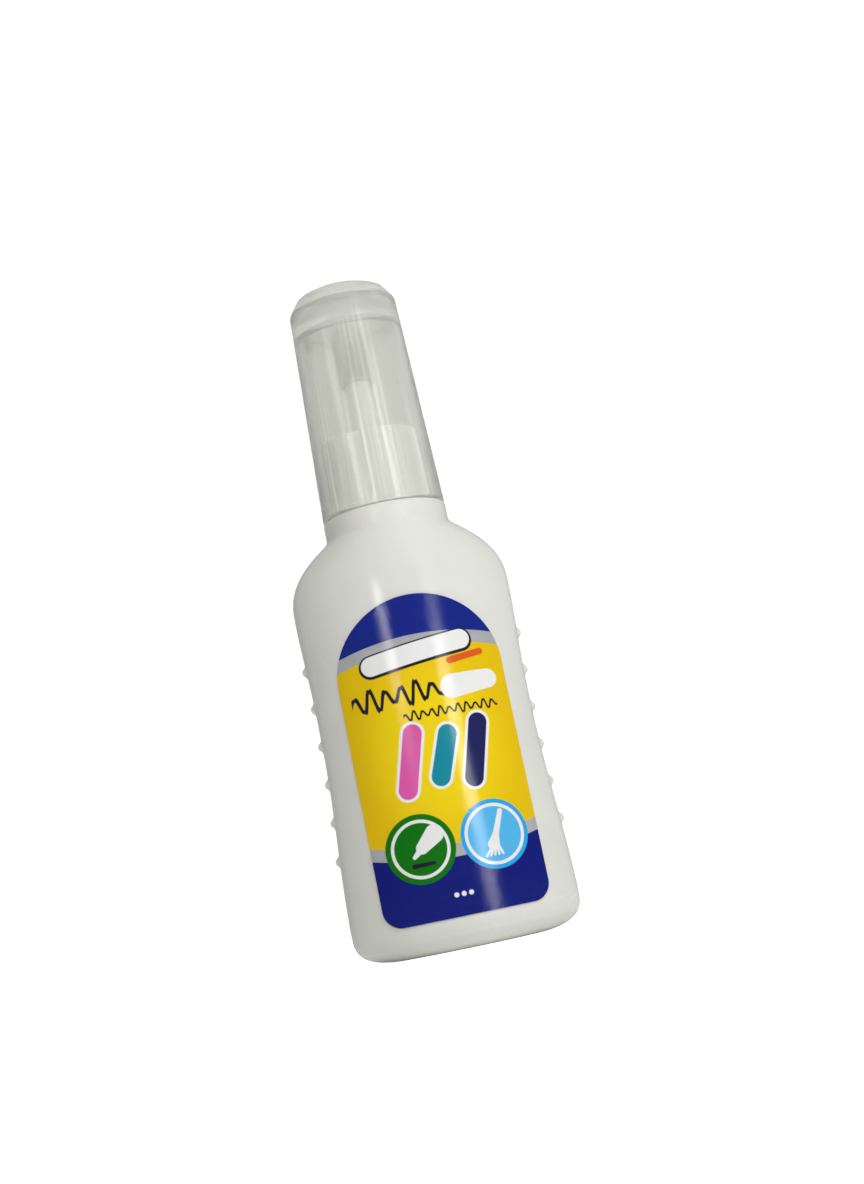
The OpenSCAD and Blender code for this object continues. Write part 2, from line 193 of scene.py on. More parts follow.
def sectionLoftTree():
    # Skins the rows of a profile, each an oval of two wide and two narrow arcs
    tree, given, result = shapeTree("sectionLoft", "Profile", {"Sides": 96, "Side Crowding": 0.0})
    size = addNode(tree, "GeometryNodeAttributeDomainSize", {"Geometry": given("Profile")})
    rows = Field(tree, size.outputs["Point Count"])
    grid = addNode(tree, "GeometryNodeMeshGrid", {
        "Size X": 1.0, "Size Y": 1.0, "Vertices X": given("Sides") + 1, "Vertices Y": rows})
    across, along, _ = position(tree)
    row = ((along + 0.5) * (rows - 1)).do("ROUND")

    def sampled(name):
        node = addNode(tree, "GeometryNodeSampleIndex", {
            "Geometry": given("Profile"), "Value": attribute(tree, name), "Index": row},
            data_type="FLOAT", domain="POINT")
        return Field(tree, node.outputs[0])

    turn = (across + 0.5) * (2 * pi)
    angle = turn - given("Side Crowding") * 0.5 * (turn * 2).do("SINE")
    c, s = angle.do("COSINE"), angle.do("SINE")
    w, d, r = sampled("halfWidth"), sampled("halfDepth"), sampled("sideRound")
    frontRadius = ((w - r) ** 2 / (d - r).do("MAXIMUM", 1e-9) + d + r) * 0.5
    lean = c.do("ABSOLUTE").do("ARCTAN2", s.do("ABSOLUTE"))
    isFront = lean.do("LESS_THAN", (w - r).do("ARCTAN2", frontRadius - d) + 1e-5)
    sideX, sideY = w - r + r * lean.do("SINE"), r * lean.do("COSINE")
    frontX, frontY = frontRadius * lean.do("SINE"), frontRadius * lean.do("COSINE") - frontRadius + d
    x = (sideX + isFront * (frontX - sideX)) * c.do("SIGN")
    y = (sideY + isFront * (frontY - sideY)) * s.do("SIGN")
    marked = stored(tree, grid.outputs["Mesh"], "outerSkin", sampled("outerSkin"))
    placed = moved(tree, marked, x, y, sampled("level"))
    closed = addNode(tree, "GeometryNodeMergeByDistance", {"Geometry": placed, "Distance": 1e-6})
    return endShape(tree, given, result, closed.outputs[0])


def gripNubTree():
    # Raises a row of round nubs on both narrow sides of a skin
    tree, given, result = shapeTree("gripNubs", "Skin", {
        "Nubs": 6, "Pitch": 0.005, "Lowest": 0.01, "Radius": 0.0006, "Height": 0.0005, "Squareness": 3.0})
    x, y, z = position(tree)
    nearest = ((z - given("Lowest")) / given("Pitch")).do("ROUND").do("MAXIMUM", 0.0)
    nearest = nearest.do("MINIMUM", given("Nubs") - 1)
    up = z - given("Lowest") - nearest * given("Pitch")
    away = hypotenuse(y, up) / given("Radius")
    bump = (away ** given("Squareness") * -1.0).do("EXPONENT") * given("Height")
    bump = bump * Field(tree, attribute(tree, "outerSkin")) * x.do("SIGN")
    return endShape(tree, given, result, moved(tree, given("Skin"), bump, 0.0, 0.0, "Offset"))


def gripFluteTree():
    # Presses flat grooves with round lower ends into a round skirt
    tree, given, result = shapeTree("gripFlutes", "Skin", {
        "Flutes": 10, "Width": 0.002, "Depth": 0.0004, "First Angle": 0.0, "Foot": 0.05,
        "Skirt Radius": 0.006, "Softness": 0.00008})
    x, y, z = position(tree)
    half = calc(tree, "DIVIDE", pi, given("Flutes"))
    local = (y.do("ARCTAN2", x) - given("First Angle")).do("WRAP", half, half * -1.0)
    radius = hypotenuse(x, y)
    sideways = radius * local.do("SINE")
    below = (given("Foot") + given("Width") * 0.5 - z).do("MAXIMUM", 0.0)
    outside = hypotenuse(sideways, below) - given("Width") * 0.5
    inside = 1.0 - easeBetween(outside, given("Softness") * -1.0, given("Softness"))
    floor = (given("Skirt Radius") - given("Depth")) / local.do("COSINE")
    pressed = inside * Field(tree, attribute(tree, "outerSkin")) * (radius.do("MINIMUM", floor) - radius)
    share = (radius + pressed) / radius.do("MAXIMUM", 1e-7)
    return endShape(tree, given, result, moved(tree, given("Skin"), x * share, y * share, z))


def wireCoilTree():
    # Sweeps a round wire along a coil; the wire thins out over Fade at both ends
    tree, given, result = shapeTree("wireCoil", "Seed Point", {
        "Radius": 0.001, "Turns": 3.0, "Foot": 0.0, "Rise": 0.004, "Wire Radius": 0.0002, "Steps": 32,
        "Wire Sides": 10, "Fade": 0.01})
    spiral = addNode(tree, "GeometryNodeCurveSpiral", {
        "Resolution": given("Steps"), "Rotations": given("Turns"), "Start Radius": given("Radius"),
        "End Radius": given("Radius"), "Height": given("Rise")})
    lifted = addNode(tree, "GeometryNodeTransform", {
        "Geometry": spiral.outputs[0], "Translation": vector(tree, 0.0, 0.0, given("Foot"))})
    factor = Field(tree, tree.nodes.new("GeometryNodeSplineParameter").outputs["Factor"])
    thick = easeBetween(factor.do("MINIMUM", 1.0 - factor) + 1e-3, 0.0, given("Fade"))
    section = addNode(tree, "GeometryNodeCurvePrimitiveCircle",
                      {"Resolution": given("Wire Sides"), "Radius": given("Wire Radius")})
    swept = addNode(tree, "GeometryNodeCurveToMesh", {
        "Curve": lifted.outputs[0], "Profile Curve": section.outputs[0], "Scale": thick.do("MAXIMUM", 0.02),
        "Fill Caps": True})
    return endShape(tree, given, result, swept.outputs[0])


goldenAngle = 2.39996


def bristleTuftTree():
    # A tuft of filaments, packed as seeds in a flower head, bowed out and drawn to a point
    tree, given, result = shapeTree("bristleTuft", "Seed Point", {
        "Count": 300, "Root Radius": 0.0012, "Root Level": 0.026, "Bend Level": 0.023, "Tip Level": 0.011,
        "Filament Radius": 0.00004, "Bow": 0.45, "Gather": 0.83, "Stray": 0.0001, "Unevenness": 0.03,
        "Seed": 4})
    index = Field(tree, tree.nodes.new("GeometryNodeInputIndex").outputs[0])
    spread = ((index + 0.5) / given("Count")).do("SQRT") * given("Root Radius")
    turn = index * goldenAngle
    root = vector(tree, spread * turn.do("COSINE"), spread * turn.do("SINE"), 0.0)
    points = addNode(tree, "GeometryNodePoints", {"Count": given("Count"), "Position": root})
    sway = addNode(tree, "FunctionNodeRandomValue", {"Seed": given("Seed")}, data_type="FLOAT_VECTOR")
    sway.inputs[0].default_value = (-1.0, -1.0, -1.0)
    sway.inputs[1].default_value = (1.0, 1.0, 1.0)
    kept = points.outputs[0]
    for name, value in (("root", root), ("sway", sway.outputs[0])):
        kept = stored(tree, kept, name, value, "FLOAT_VECTOR")
    filament = addNode(tree, "GeometryNodeMeshCylinder", {
        "Vertices": 5, "Side Segments": 7, "Radius": given("Filament Radius"), "Depth": 1.0})
    planted = addNode(tree, "GeometryNodeInstanceOnPoints",
                      {"Points": kept, "Instance": filament.outputs["Mesh"]})
    real = addNode(tree, "GeometryNodeRealizeInstances", {"Geometry": planted.outputs[0]})
    x, y, z = position(tree)
    rootX, rootY, _ = components(tree, attribute(tree, "root", "FLOAT_VECTOR"))
    swayX, swayY, swayZ = components(tree, attribute(tree, "sway", "FLOAT_VECTOR"))
    length = (given("Root Level") - given("Tip Level")) * (1.0 - given("Unevenness") * (swayZ + 1.0))
    level = given("Root Level") - (0.5 - z) * length
    drop = (given("Bend Level") - level) / (given("Bend Level") - given("Tip Level"))
    share = drop.do("MAXIMUM", 0.0)
    swell = given("Bow") * share - given("Gather") * share ** 4
    stray = given("Stray") * share * share
    return endShape(tree, given, result, moved(
        tree, real.outputs[0], x + rootX * swell + swayX * stray, y + rootY * swell + swayY * stray, level))


# Meshes and pieces

def newObject(name, data):
    made = bpy.data.objects.new(name, data)
    bpy.context.scene.collection.objects.link(made)
    return made


def setInputs(modifier, values):  # by each socket's identifier
    for item in modifier.node_group.interface.items_tree:
        if item.item_type == "SOCKET" and item.in_out == "INPUT" and item.name in values:
            modifier[item.identifier] = values[item.name]


def growMesh(name, mesh, material, *stages):
    # Runs the trees on a mesh one after the other and keeps the result as a plain mesh
    piece = newObject(name, mesh)
    for tree, values in stages:
        modifier = piece.modifiers.new(tree.name, "NODES")
        modifier.node_group = tree
        setInputs(modifier, {**values, "Material": material})
    bpy.context.view_layer.update()
    grown = bpy.data.meshes.new_from_object(piece.evaluated_get(bpy.context.evaluated_depsgraph_get()))
    piece.modifiers.clear()
    piece.data = grown
    grown.name = name
    for layer in ("outerSkin", "root", "sway"):
        if layer in grown.attributes:
            grown.attributes.remove(grown.attributes[layer])
    bpy.data.meshes.remove(mesh)
    print("made", name, len(grown.polygons), "faces")
    return piece


def profileMesh(rows):  # one vertex for each row (halfWidth, halfDepth, sideRound, level, outerSkin)
    mesh = bpy.data.meshes.new("profile")
    mesh.from_pydata([(0.0, 0.0, row[3] * mm) for row in rows], [], [])
    for column, name in enumerate(("halfWidth", "halfDepth", "sideRound", "level", "outerSkin")):
        layer = mesh.attributes.new(name, "FLOAT", "POINT")
        unit = 1.0 if name == "outerSkin" else mm
        layer.data.foreach_set("value", [row[column] * unit for row in rows])
    return mesh


roundShare = 0.98  # side round of a row that is a plain circle, as a share of its radius


def roundRow(radius, level, outer=0.0):
    return (radius, radius, radius * roundShare, level, outer)


def softened(corners, steps=4, closed=False, longest=None):
    # Points (radius, level) through corners (radius, level, rounding), each corner eased by its rounding
    count = len(corners)
    points = []
    for i, (r, z, ease) in enumerate(corners):
        here = Vector((r, z))
        if not closed and i in (0, count - 1) or ease == 0:
            points.append(here)
            continue
        before = Vector(corners[i - 1][:2]) - here
        after = Vector(corners[(i + 1) % count][:2]) - here
        reach = min(ease, before.length * 0.48, after.length * 0.48)
        start, end = here + before.normalized() * reach, here + after.normalized() * reach
        for k in range(steps + 1):
            t = k / steps
            points.append(start * (1 - t) ** 2 + here * (2 * t * (1 - t)) + end * t ** 2)
    if closed:
        points.append(points[0].copy())
    if longest:
        fine = [points[0]]
        for point in points[1:]:
            pieces = max(1, round((point - fine[-1]).length / longest))
            start = fine[-1]
            fine += [start.lerp(point, k / pieces) for k in range(1, pieces + 1)]
        points = fine
    return [(point.x, point.y) for point in points]


def turned(name, corners, material, sides, closed=False):  # a piece of revolution
    rows = [roundRow(r, z) for r, z in softened(corners, 4, closed)]
    return growMesh(name, profileMesh(rows), material, (sectionLoft, {"Sides": sides}))


def edited(mesh, change):  # runs a bmesh change on a mesh
    work = bmesh.new()
    work.from_mesh(mesh)
    change(work)
    work.to_mesh(mesh)
    work.free()


def smoothUpTo(mesh, sharpAngle):
    mesh.shade_smooth()
    mesh.set_sharp_from_angle(angle=radians(sharpAngle))


def dressed(node, name, material, sharpAngle=35):
    # Smooth copy of a CAD node whose shape is already right
    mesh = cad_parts[node].data.copy()
    mesh.name = name
    edited(mesh, lambda work: bmesh.ops.remove_doubles(work, verts=work.verts, dist=1e-7))
    smoothUpTo(mesh, sharpAngle)
    if mesh.has_custom_normals:
        mesh.normals_split_custom_set([(0.0, 0.0, 0.0)] * len(mesh.loops))
    mesh.materials.clear()
    mesh.materials.append(material)
    print("dressed", node)
    return newObject(name, mesh)


def coil(name, wire, foot, rise, material):  # a wire's dictionary is in millimetres
    piece = growMesh(name, bpy.data.meshes.new("seed"), material, (wireCoil, {
        "Radius": wire["radius"] * mm, "Turns": wire["turns"], "Foot": foot * mm, "Rise": rise * mm,
        "Wire Radius": wire["wire"] * mm, "Steps": wire["steps"], "Wire Sides": wire["sides"],
        "Fade": wire["fade"]}))
    edited(piece.data, lambda work: bmesh.ops.recalc_face_normals(work, faces=work.faces))
    return piece


def finishPiece(piece, body, slot, *nodes):
    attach(piece, body)
    if nodes:
        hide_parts(*nodes)


# Finishes shared by several materials, as node groups

def finishGroup(name, values, *outputs):
    return newTree(name, "ShaderNodeTree", values, outputs, "Float")


def endGroup(tree, result, values):
    for name, value in values.items():
        feed(tree, result.inputs[name], value)
    return tree


def objectCoords(tree):
    return tree.nodes.new("ShaderNodeTexCoord").outputs["Object"]


def noise(tree, scale, detail=2.0, roughness=0.5, where=None, distortion=0.0):
    node = addNode(tree, "ShaderNodeTexNoise", {
        "Vector": where or objectCoords(tree), "Scale": scale, "Detail": detail, "Roughness": roughness,
        "Distortion": distortion})
    return Field(tree, node.outputs["Fac"])


def mouldedSkinGroup():
    # Faint waves and fine grain of moulded plastic, with a slow drift of tone
    tree, given, result = finishGroup("mouldedSkin", {
        "Wave Scale": 150.0, "Grain Scale": 6000.0, "Grain Share": 0.3}, "Height", "Tone")
    waves = noise(tree, given("Wave Scale"), 1.0)
    grain = noise(tree, given("Grain Scale"), 2.0, 0.6)
    share = given("Grain Share")
    return endGroup(tree, result, {
        "Height": waves * (1.0 - share) + grain * share, "Tone": noise(tree, given("Wave Scale") * 0.4, 3.0)})


def handlingMarksGroup():
    # Straight hairline scratches, and dull patches, left by handling
    tree, given, result = finishGroup("handlingMarks", {
        "Length Scale": 60.0, "Fineness": 60.0, "Amount": 0.5}, "Scratches", "Dullness")
    coords = objectCoords(tree)
    total = None
    for turn in (0.35, -0.6, 1.25):
        leaning = addNode(tree, "ShaderNodeMapping", {
            "Vector": coords, "Rotation": (turn, turn * 1.7, turn * 0.6)})
        stretched = addNode(tree, "ShaderNodeMapping", {
            "Vector": leaning.outputs[0], "Scale": vector(tree, given("Fineness"), given("Fineness"), 1.0)})
        streak = noise(tree, given("Length Scale"), 0.0, 0.5, stretched.outputs[0])
        line = easeBetween(streak, 0.7, 0.76)
        total = line if total is None else total.do("MAXIMUM", line)
    patches = easeBetween(noise(tree, given("Length Scale") * 2.0, 3.0), 0.48, 0.7)
    return endGroup(tree, result, {
        "Scratches": total * patches * given("Amount"), "Dullness": patches * given("Amount")})


def drawLinesGroup():
    # Faint upright lines that a mould leaves where a round piece is drawn out along Z
    tree, given, result = finishGroup(
        "drawLines", {"Around Scale": 8.0, "Length Scale": 30.0}, "Height", "Lines")
    x, y, z = components(tree, objectCoords(tree))
    radius = hypotenuse(x, y).do("MAXIMUM", 1e-5)
    around = given("Around Scale")
    where = vector(tree, x / radius * around, y / radius * around, z * given("Length Scale"))
    return endGroup(tree, result, {
        "Height": noise(tree, 1.0, 2.0, 0.45, where),
        "Lines": easeBetween(noise(tree, 2.5, 1.0, 0.5, where), 0.5, 0.68)})


def turnedLinesGroup():
    # Fine rings that a lathe tool leaves round the Z axis
    tree, given, result = finishGroup("turnedLines", {"Pitch Scale": 9000.0}, "Height")
    x, y, z = components(tree, objectCoords(tree))
    across = vector(tree, hypotenuse(x, y), 0.0, z)
    return endGroup(tree, result, {"Height": noise(tree, given("Pitch Scale"), 2.0, 0.6, across)})


def strokeGroup():
    # Mask of a straight stroke with round ends, in millimetres on the front view
    tree, given, result = finishGroup("strokeMask", dict.fromkeys((
        "X", "Z", "Start X", "Start Z", "End X", "End Z", "Start Radius", "End Radius",
        "Softness"), 0.0), "Mask")
    overX, overZ = given("X") - given("Start X"), given("Z") - given("Start Z")
    runX, runZ = given("End X") - given("Start X"), given("End Z") - given("Start Z")
    along = ((overX * runX + overZ * runZ) / (runX * runX + runZ * runZ + 1e-6)).clamped()
    radius = given("Start Radius") + along * (given("End Radius") - given("Start Radius"))
    depth = (radius - hypotenuse(overX - along * runX, overZ - along * runZ)) / given("Softness") + 0.5
    return endGroup(tree, result, {"Mask": depth.clamped()})


def squiggleGroup():
    # Mask of a wavy pen line between two x, in millimetres on the front view
    tree, given, result = finishGroup("squiggleMask", dict.fromkeys((
        "X", "Z", "Left", "Right", "Level", "Swing", "Wave", "Thickness", "Softness"), 0.0), "Mask")
    swell, swellPace, endLength = 0.35, 0.37, 0.1
    pace = calc(tree, "DIVIDE", 2 * pi, given("Wave"))
    phase = (given("X") - given("Left")) * pace
    swing = given("Swing") * (1.0 - (phase * swellPace).do("COSINE") * swell)
    height = given("Level") + swing * phase.do("SINE")
    slope = swing * pace * phase.do("COSINE")
    off = (given("Z") - height).do("ABSOLUTE") / (slope * slope + 1.0).do("SQRT")
    line = ((given("Thickness") * 0.5 - off) / given("Softness") + 0.5).clamped()
    left = easeBetween(given("X"), given("Left"), given("Left") + endLength)
    right = easeBetween(given("X"), given("Right"), given("Right") - endLength)
    return endGroup(tree, result, {"Mask": line * left * right})


sectionLoft, gripNubs, gripFlutes = sectionLoftTree(), gripNubTree(), gripFluteTree()
wireCoil, bristleTuft = wireCoilTree(), bristleTuftTree()
mouldedSkin, handlingMarks = mouldedSkinGroup(), handlingMarksGroup()
drawLines, turnedLines = drawLinesGroup(), turnedLinesGroup()
strokeMask, squiggleMask = strokeGroup(), squiggleGroup()
print("node trees ready")


# Materials

def tint(red, green, blue):  # an sRGB colour of 0 to 255 as the linear one that shaders take
    def linear(part):
        part = part / 255
        return part / 12.92 if part <= 0.04045 else ((part + 0.055) / 1.055) ** 2.4

    return (linear(red), linear(green), linear(blue), 1.0)


def socketLabel(name):  # waveScale stands for Wave Scale, specularIorLevel for Specular IOR Level
    return "".join(" " + c if c.isupper() else c for c in name).strip().title().replace("Ior", "IOR")


def newMaterial(name, **constants):
    material = bpy.data.materials.new(name)
    material.use_nodes = True
    shader = material.node_tree.nodes["Principled BSDF"]
    for key, value in constants.items():
        shader.inputs[socketLabel(key)].default_value = value
    return material, material.node_tree, shader


def useGroup(tree, group, **values):  # gives the group's outputs by name
    node = addNode(tree, "ShaderNodeGroup", node_tree=group)
    for name, value in values.items():
        feed(tree, node.inputs[socketLabel(name)], value)
    return {socket.name: Field(tree, socket) for socket in node.outputs}


def blendColor(tree, factor, first, second):  # each colour is a socket or an sRGB triple
    first, second = (tint(*color) if isinstance(color, tuple) else color for color in (first, second))
    node = addNode(tree, "ShaderNodeMix", {0: factor, 6: first, 7: second}, data_type="RGBA")
    return node.outputs[2]


def finished(material, shader, color, rough, height, depth):
    tree = material.node_tree
    relief = addNode(tree, "ShaderNodeBump", {"Height": height, "Distance": depth * mm, "Strength": 1.0})
    feed(tree, shader.inputs["Base Color"], color)
    feed(tree, shader.inputs["Roughness"], rough)
    feed(tree, shader.inputs["Normal"], relief.outputs["Normal"])
    return material


# What each finish adds to roughness, the depth of scratches and draw lines as shares of the relief, and
# how fine the scratches are
wear = {"tone": 0.08, "dullness": 0.06, "scratches": 0.2, "metalLines": 0.12, "metalScratches": 0.15,
        "scratchDepth": 0.1, "drawDepth": 0.8, "fineness": 60.0}


def plasticMaterial(name, look):
    # Moulded plastic: tone drift, waves, grain and marks from handling
    material, tree, shader = newMaterial(name, **look["constants"])
    waveScale, grainScale, grainShare = look["skin"]
    skin = useGroup(tree, mouldedSkin, waveScale=waveScale, grainScale=grainScale, grainShare=grainShare)
    lengthScale, amount = look["marks"]
    marks = useGroup(tree, handlingMarks, lengthScale=lengthScale, fineness=wear["fineness"], amount=amount)
    rough = (skin["Tone"] * wear["tone"] + look["roughness"] + marks["Dullness"] * wear["dullness"]
             + marks["Scratches"] * wear["scratches"])
    height = skin["Height"] - marks["Scratches"] * wear["scratchDepth"]
    if "drawn" in look:
        lines = useGroup(tree, drawLines, aroundScale=look["drawn"], lengthScale=40.0)
        height = height + lines["Height"] * wear["drawDepth"]
    if "mouldEdge" in look:
        low, high, share = look["mouldEdge"]
        height = height + easeBetween(components(tree, objectCoords(tree))[2] / mm, low, high) * share
    color = blendColor(tree, skin["Tone"], look["dark"], look["light"])
    return finished(material, shader, color, rough, height, look["relief"])


def metalMaterial(name, light, dark, roughness, lineScale, relief):
    # Turned or drawn metal with tool rings and dull patches
    material, tree, shader = newMaterial(name, metallic=1.0)
    lines = useGroup(tree, turnedLines, pitchScale=lineScale)
    marks = useGroup(tree, handlingMarks, lengthScale=300.0, fineness=30.0, amount=0.6)
    color = blendColor(tree, marks["Dullness"], light, dark)
    rough = lines["Height"] * wear["metalLines"] + roughness + marks["Scratches"] * wear["metalScratches"]
    return finished(material, shader, color, rough, lines["Height"], relief)


# skin is wave scale, grain scale and the grain's share; marks is length scale and amount; mouldEdge is
# two levels and the step in the relief between them
bottlePlastic = plasticMaterial("bottlePlastic", {
    "dark": (219, 220, 211), "light": (238, 238, 231), "roughness": 0.15, "relief": 0.05,
    "skin": (160.0, 5200.0, 0.1), "marks": (45.0, 0.5), "mouldEdge": (1.7, 2.3, -1.8),
    "constants": {"ior": 1.5, "specularIorLevel": 0.26, "subsurfaceWeight": 0.25, "subsurfaceScale": 0.0015,
                  "subsurfaceRadius": (1.0, 0.95, 0.85)}})
nozzlePlastic = plasticMaterial("nozzlePlastic", {
    "dark": (230, 231, 224), "light": (242, 242, 236), "roughness": 0.3, "relief": 0.02,
    "skin": (260.0, 7000.0, 0.3), "marks": (90.0, 0.3), "drawn": 9.0,
    "constants": {"ior": 1.49, "subsurfaceWeight": 0.15, "subsurfaceScale": 0.001,
                  "subsurfaceRadius": (1.0, 0.95, 0.85)}})
retainerPlastic = plasticMaterial("retainerPlastic", {
    "dark": (214, 214, 206), "light": (232, 232, 225), "roughness": 0.42, "relief": 0.01,
    "skin": (900.0, 15000.0, 0.5), "marks": (300.0, 0.2), "constants": {"ior": 1.48}})
stemPlastic = plasticMaterial("stemPlastic", {
    "dark": (220, 221, 213), "light": (238, 238, 230), "roughness": 0.36, "relief": 0.015,
    "skin": (300.0, 8000.0, 0.4), "marks": (120.0, 0.3),
    "constants": {"ior": 1.5, "subsurfaceWeight": 0.2, "subsurfaceScale": 0.001,
                  "subsurfaceRadius": (1.0, 0.95, 0.85)}})
tipMetal = metalMaterial("tipMetal", (208, 202, 188), (178, 172, 158), 0.24, 14000.0, 0.006)
pinSteel = metalMaterial("pinSteel", (202, 204, 208), (170, 172, 178), 0.16, 20000.0, 0.003)
springSteel = metalMaterial("springSteel", (190, 192, 196), (150, 152, 158), 0.26, 9000.0, 0.003)
ballSteel = metalMaterial("ballSteel", (206, 208, 210), (176, 178, 182), 0.14, 5000.0, 0.002)
anchorWire = metalMaterial("anchorWire", (200, 198, 190), (160, 158, 150), 0.3, 9000.0, 0.004)


def foamMaterial():
    # Closed-cell foam: small pits between soft cell walls, with painted shade that darkens the pits
    look = {"pit": (198, 200, 198), "wall": (228, 229, 226), "cellScale": 7000.0, "pitRadius": 0.1,
            "wallRadius": 0.6, "roughness": 0.6, "wallRoughness": 0.2, "relief": 0.03}
    material, tree, shader = newMaterial("washerFoam", ior=1.4)
    cells = addNode(tree, "ShaderNodeTexVoronoi", {"Vector": objectCoords(tree), "Scale": look["cellScale"]})
    depth = easeBetween(Field(tree, cells.outputs["Distance"]), look["pitRadius"], look["wallRadius"])
    # painted shade: the pits take the darker colour, as shade in the hollows of the cells
    color = blendColor(tree, depth, look["pit"], look["wall"])
    rough = depth * look["wallRoughness"] + look["roughness"]
    return finished(material, shader, color, rough, depth, look["relief"])


def fluidMaterial():
    # Opaque white fluid whose pigment settles in slow swirls
    look = {"settled": (240, 240, 234), "fresh": (250, 250, 247), "swirlScale": 160.0, "swirlTwist": 1.5,
            "roughness": 0.18, "swirlRoughness": 0.1, "relief": 0.03}
    material, tree, shader = newMaterial("correctionFluid", ior=1.42)
    swirl = noise(tree, look["swirlScale"], 3.0, 0.55, None, look["swirlTwist"])
    color = blendColor(tree, swirl, look["settled"], look["fresh"])
    rough = swirl * look["swirlRoughness"] + look["roughness"]
    return finished(material, shader, color, rough, swirl, look["relief"])


def bristleMaterial():
    # Nylon filaments, a little darker towards the root; its two levels are in metres
    look = {"tip": (238, 232, 208), "root": (214, 205, 176), "streak": (250, 247, 232), "tipLevel": 0.012,
            "rootLevel": 0.023, "streakScale": 9000.0, "streakShare": 0.5, "roughness": 0.3,
            "streakRoughness": 0.15, "relief": 0.004}
    material, tree, shader = newMaterial("bristleNylon", ior=1.53)
    root = easeBetween(components(tree, objectCoords(tree))[2], look["tipLevel"], look["rootLevel"])
    streaks = noise(tree, look["streakScale"], 1.0)
    color = blendColor(tree, root, look["tip"], look["root"])
    color = blendColor(tree, streaks * look["streakShare"], color, look["streak"])
    rough = streaks * look["streakRoughness"] + look["roughness"]
    return finished(material, shader, color, rough, streaks, look["relief"])


def capMaterial():
    # Clear, slightly milky plastic with draw lines; a shadow ray passes, so that light gets in
    look = {"clear": (243, 244, 238), "milky": (222, 223, 215), "line": (255, 255, 251),
            "tube": (228, 229, 221), "roughness": 0.055, "toneRoughness": 0.05, "thickRoughness": 0.12,
            "lineDullness": 0.08, "lineShare": 0.8, "skinShare": 0.15, "relief": 0.01, "shadowPass": 0.9,
            "thickLevel": 80.6, "thickBlend": 1.5, "thickCalm": 0.75, "tubeRadius": 2.6, "tubeBlend": 0.15}
    material, tree, shader = newMaterial(
        "capPlastic", ior=1.49, specularIorLevel=0.2, transmissionWeight=0.76)

    def past(value, name, blend):  # 0 before the look's level of this name, 1 past it
        return easeBetween(value, look[name] - look[blend], look[name] + look[blend])

    x, y, z = [part / mm for part in components(tree, objectCoords(tree))]
    crown = past(z, "thickLevel", "thickBlend")
    inTube = 1.0 - past(hypotenuse(x, y), "tubeRadius", "tubeBlend")
    skin = useGroup(tree, mouldedSkin, waveScale=120.0, grainScale=2600.0, grainShare=0.2)
    lines = useGroup(tree, drawLines, aroundScale=6.0, lengthScale=14.0)
    marks = useGroup(tree, handlingMarks, lengthScale=40.0, fineness=wear["fineness"], amount=0.4)
    thin = 1.0 - crown * look["thickCalm"]
    streaks, fine = lines["Height"] * thin, lines["Lines"] * thin
    color = blendColor(tree, streaks, look["milky"], look["clear"])
    color = blendColor(tree, fine * look["lineShare"], color, look["line"])
    color = blendColor(tree, inTube, color, look["tube"])
    rough = (skin["Tone"] * look["toneRoughness"] + marks["Scratches"] * wear["scratches"]
             + fine * look["lineDullness"] + crown * look["thickRoughness"] + look["roughness"])
    shadow = Field(tree, tree.nodes.new("ShaderNodeLightPath").outputs["Is Shadow Ray"])
    feed(tree, shader.inputs["Alpha"], 1.0 - shadow * look["shadowPass"])
    height = skin["Height"] * look["skinShare"] + streaks
    return finished(material, shader, color, rough, height, look["relief"])


washerFoam, fluidWhite = foamMaterial(), fluidMaterial()
bristleNylon, capPlastic = bristleMaterial(), capMaterial()
print("plain materials ready")


# The bottle: one blown skin, with a row of nubs on each narrow side

bottleHigh = boxMm("bottle")[1]
body = {
    "footWidth": 28.9, "waistWidth": 27.1, "bulgeWidth": 27.9, "halfDepth": bottleHigh[1],
    "waist": 27.5, "waistTop": 31.0, "shoulder": 44.5, "shoulderEnd": 53.2, "ringTop": 55.9,
    "shoulderPower": 2.4, "shoulderBlend": 0.06,
    "sideRound": 4.0, "footSideRound": 2.6, "sideRoundMost": 0.7, "baseRound": 3.5, "heelShare": 0.8,
    "footBand": 1.6, "footRise": 0.5, "wall": 0.9, "edgeRound": 0.25,
    "ringRadius": 7.981, "neckRadius": 5.0, "boreRadius": 3.9, "neckTop": bottleHigh[2], "neckFillet": 0.3,
    "nubs": 6, "nubPitch": 4.83, "nubLowest": 13.4, "nubRadius": 0.56, "nubHeight": 0.5,
    "nubSquareness": 3.0, "nubMargin": 1.2,
    "columns": 200, "sideCrowding": 0.5, "sideStep": 0.6, "nubStep": 0.15, "shoulderStep": 0.35,
    "insideStep": 0.8,
}


def easedStep(t):
    return (1 - cos(pi * max(0.0, min(1.0, t)))) / 2


def shoulderShare(z):  # 1 below the shoulder, 0 in the ring
    if z <= body["shoulder"]:
        return 1.0
    t = (z - body["shoulder"]) / (body["shoulderEnd"] - body["shoulder"])
    softness = body["shoulderBlend"]
    return softness * log(1 + exp((1 - t ** body["shoulderPower"]) / softness))


def straightHalfWidth(z):
    toWaist = easedStep((z - body["baseRound"]) / (body["waist"] - body["baseRound"]))
    toBulge = easedStep((z - body["waistTop"]) / (body["shoulder"] - body["waistTop"]))
    return (body["footWidth"] - (body["footWidth"] - body["waistWidth"]) * toWaist
            + (body["bulgeWidth"] - body["waistWidth"]) * toBulge) / 2


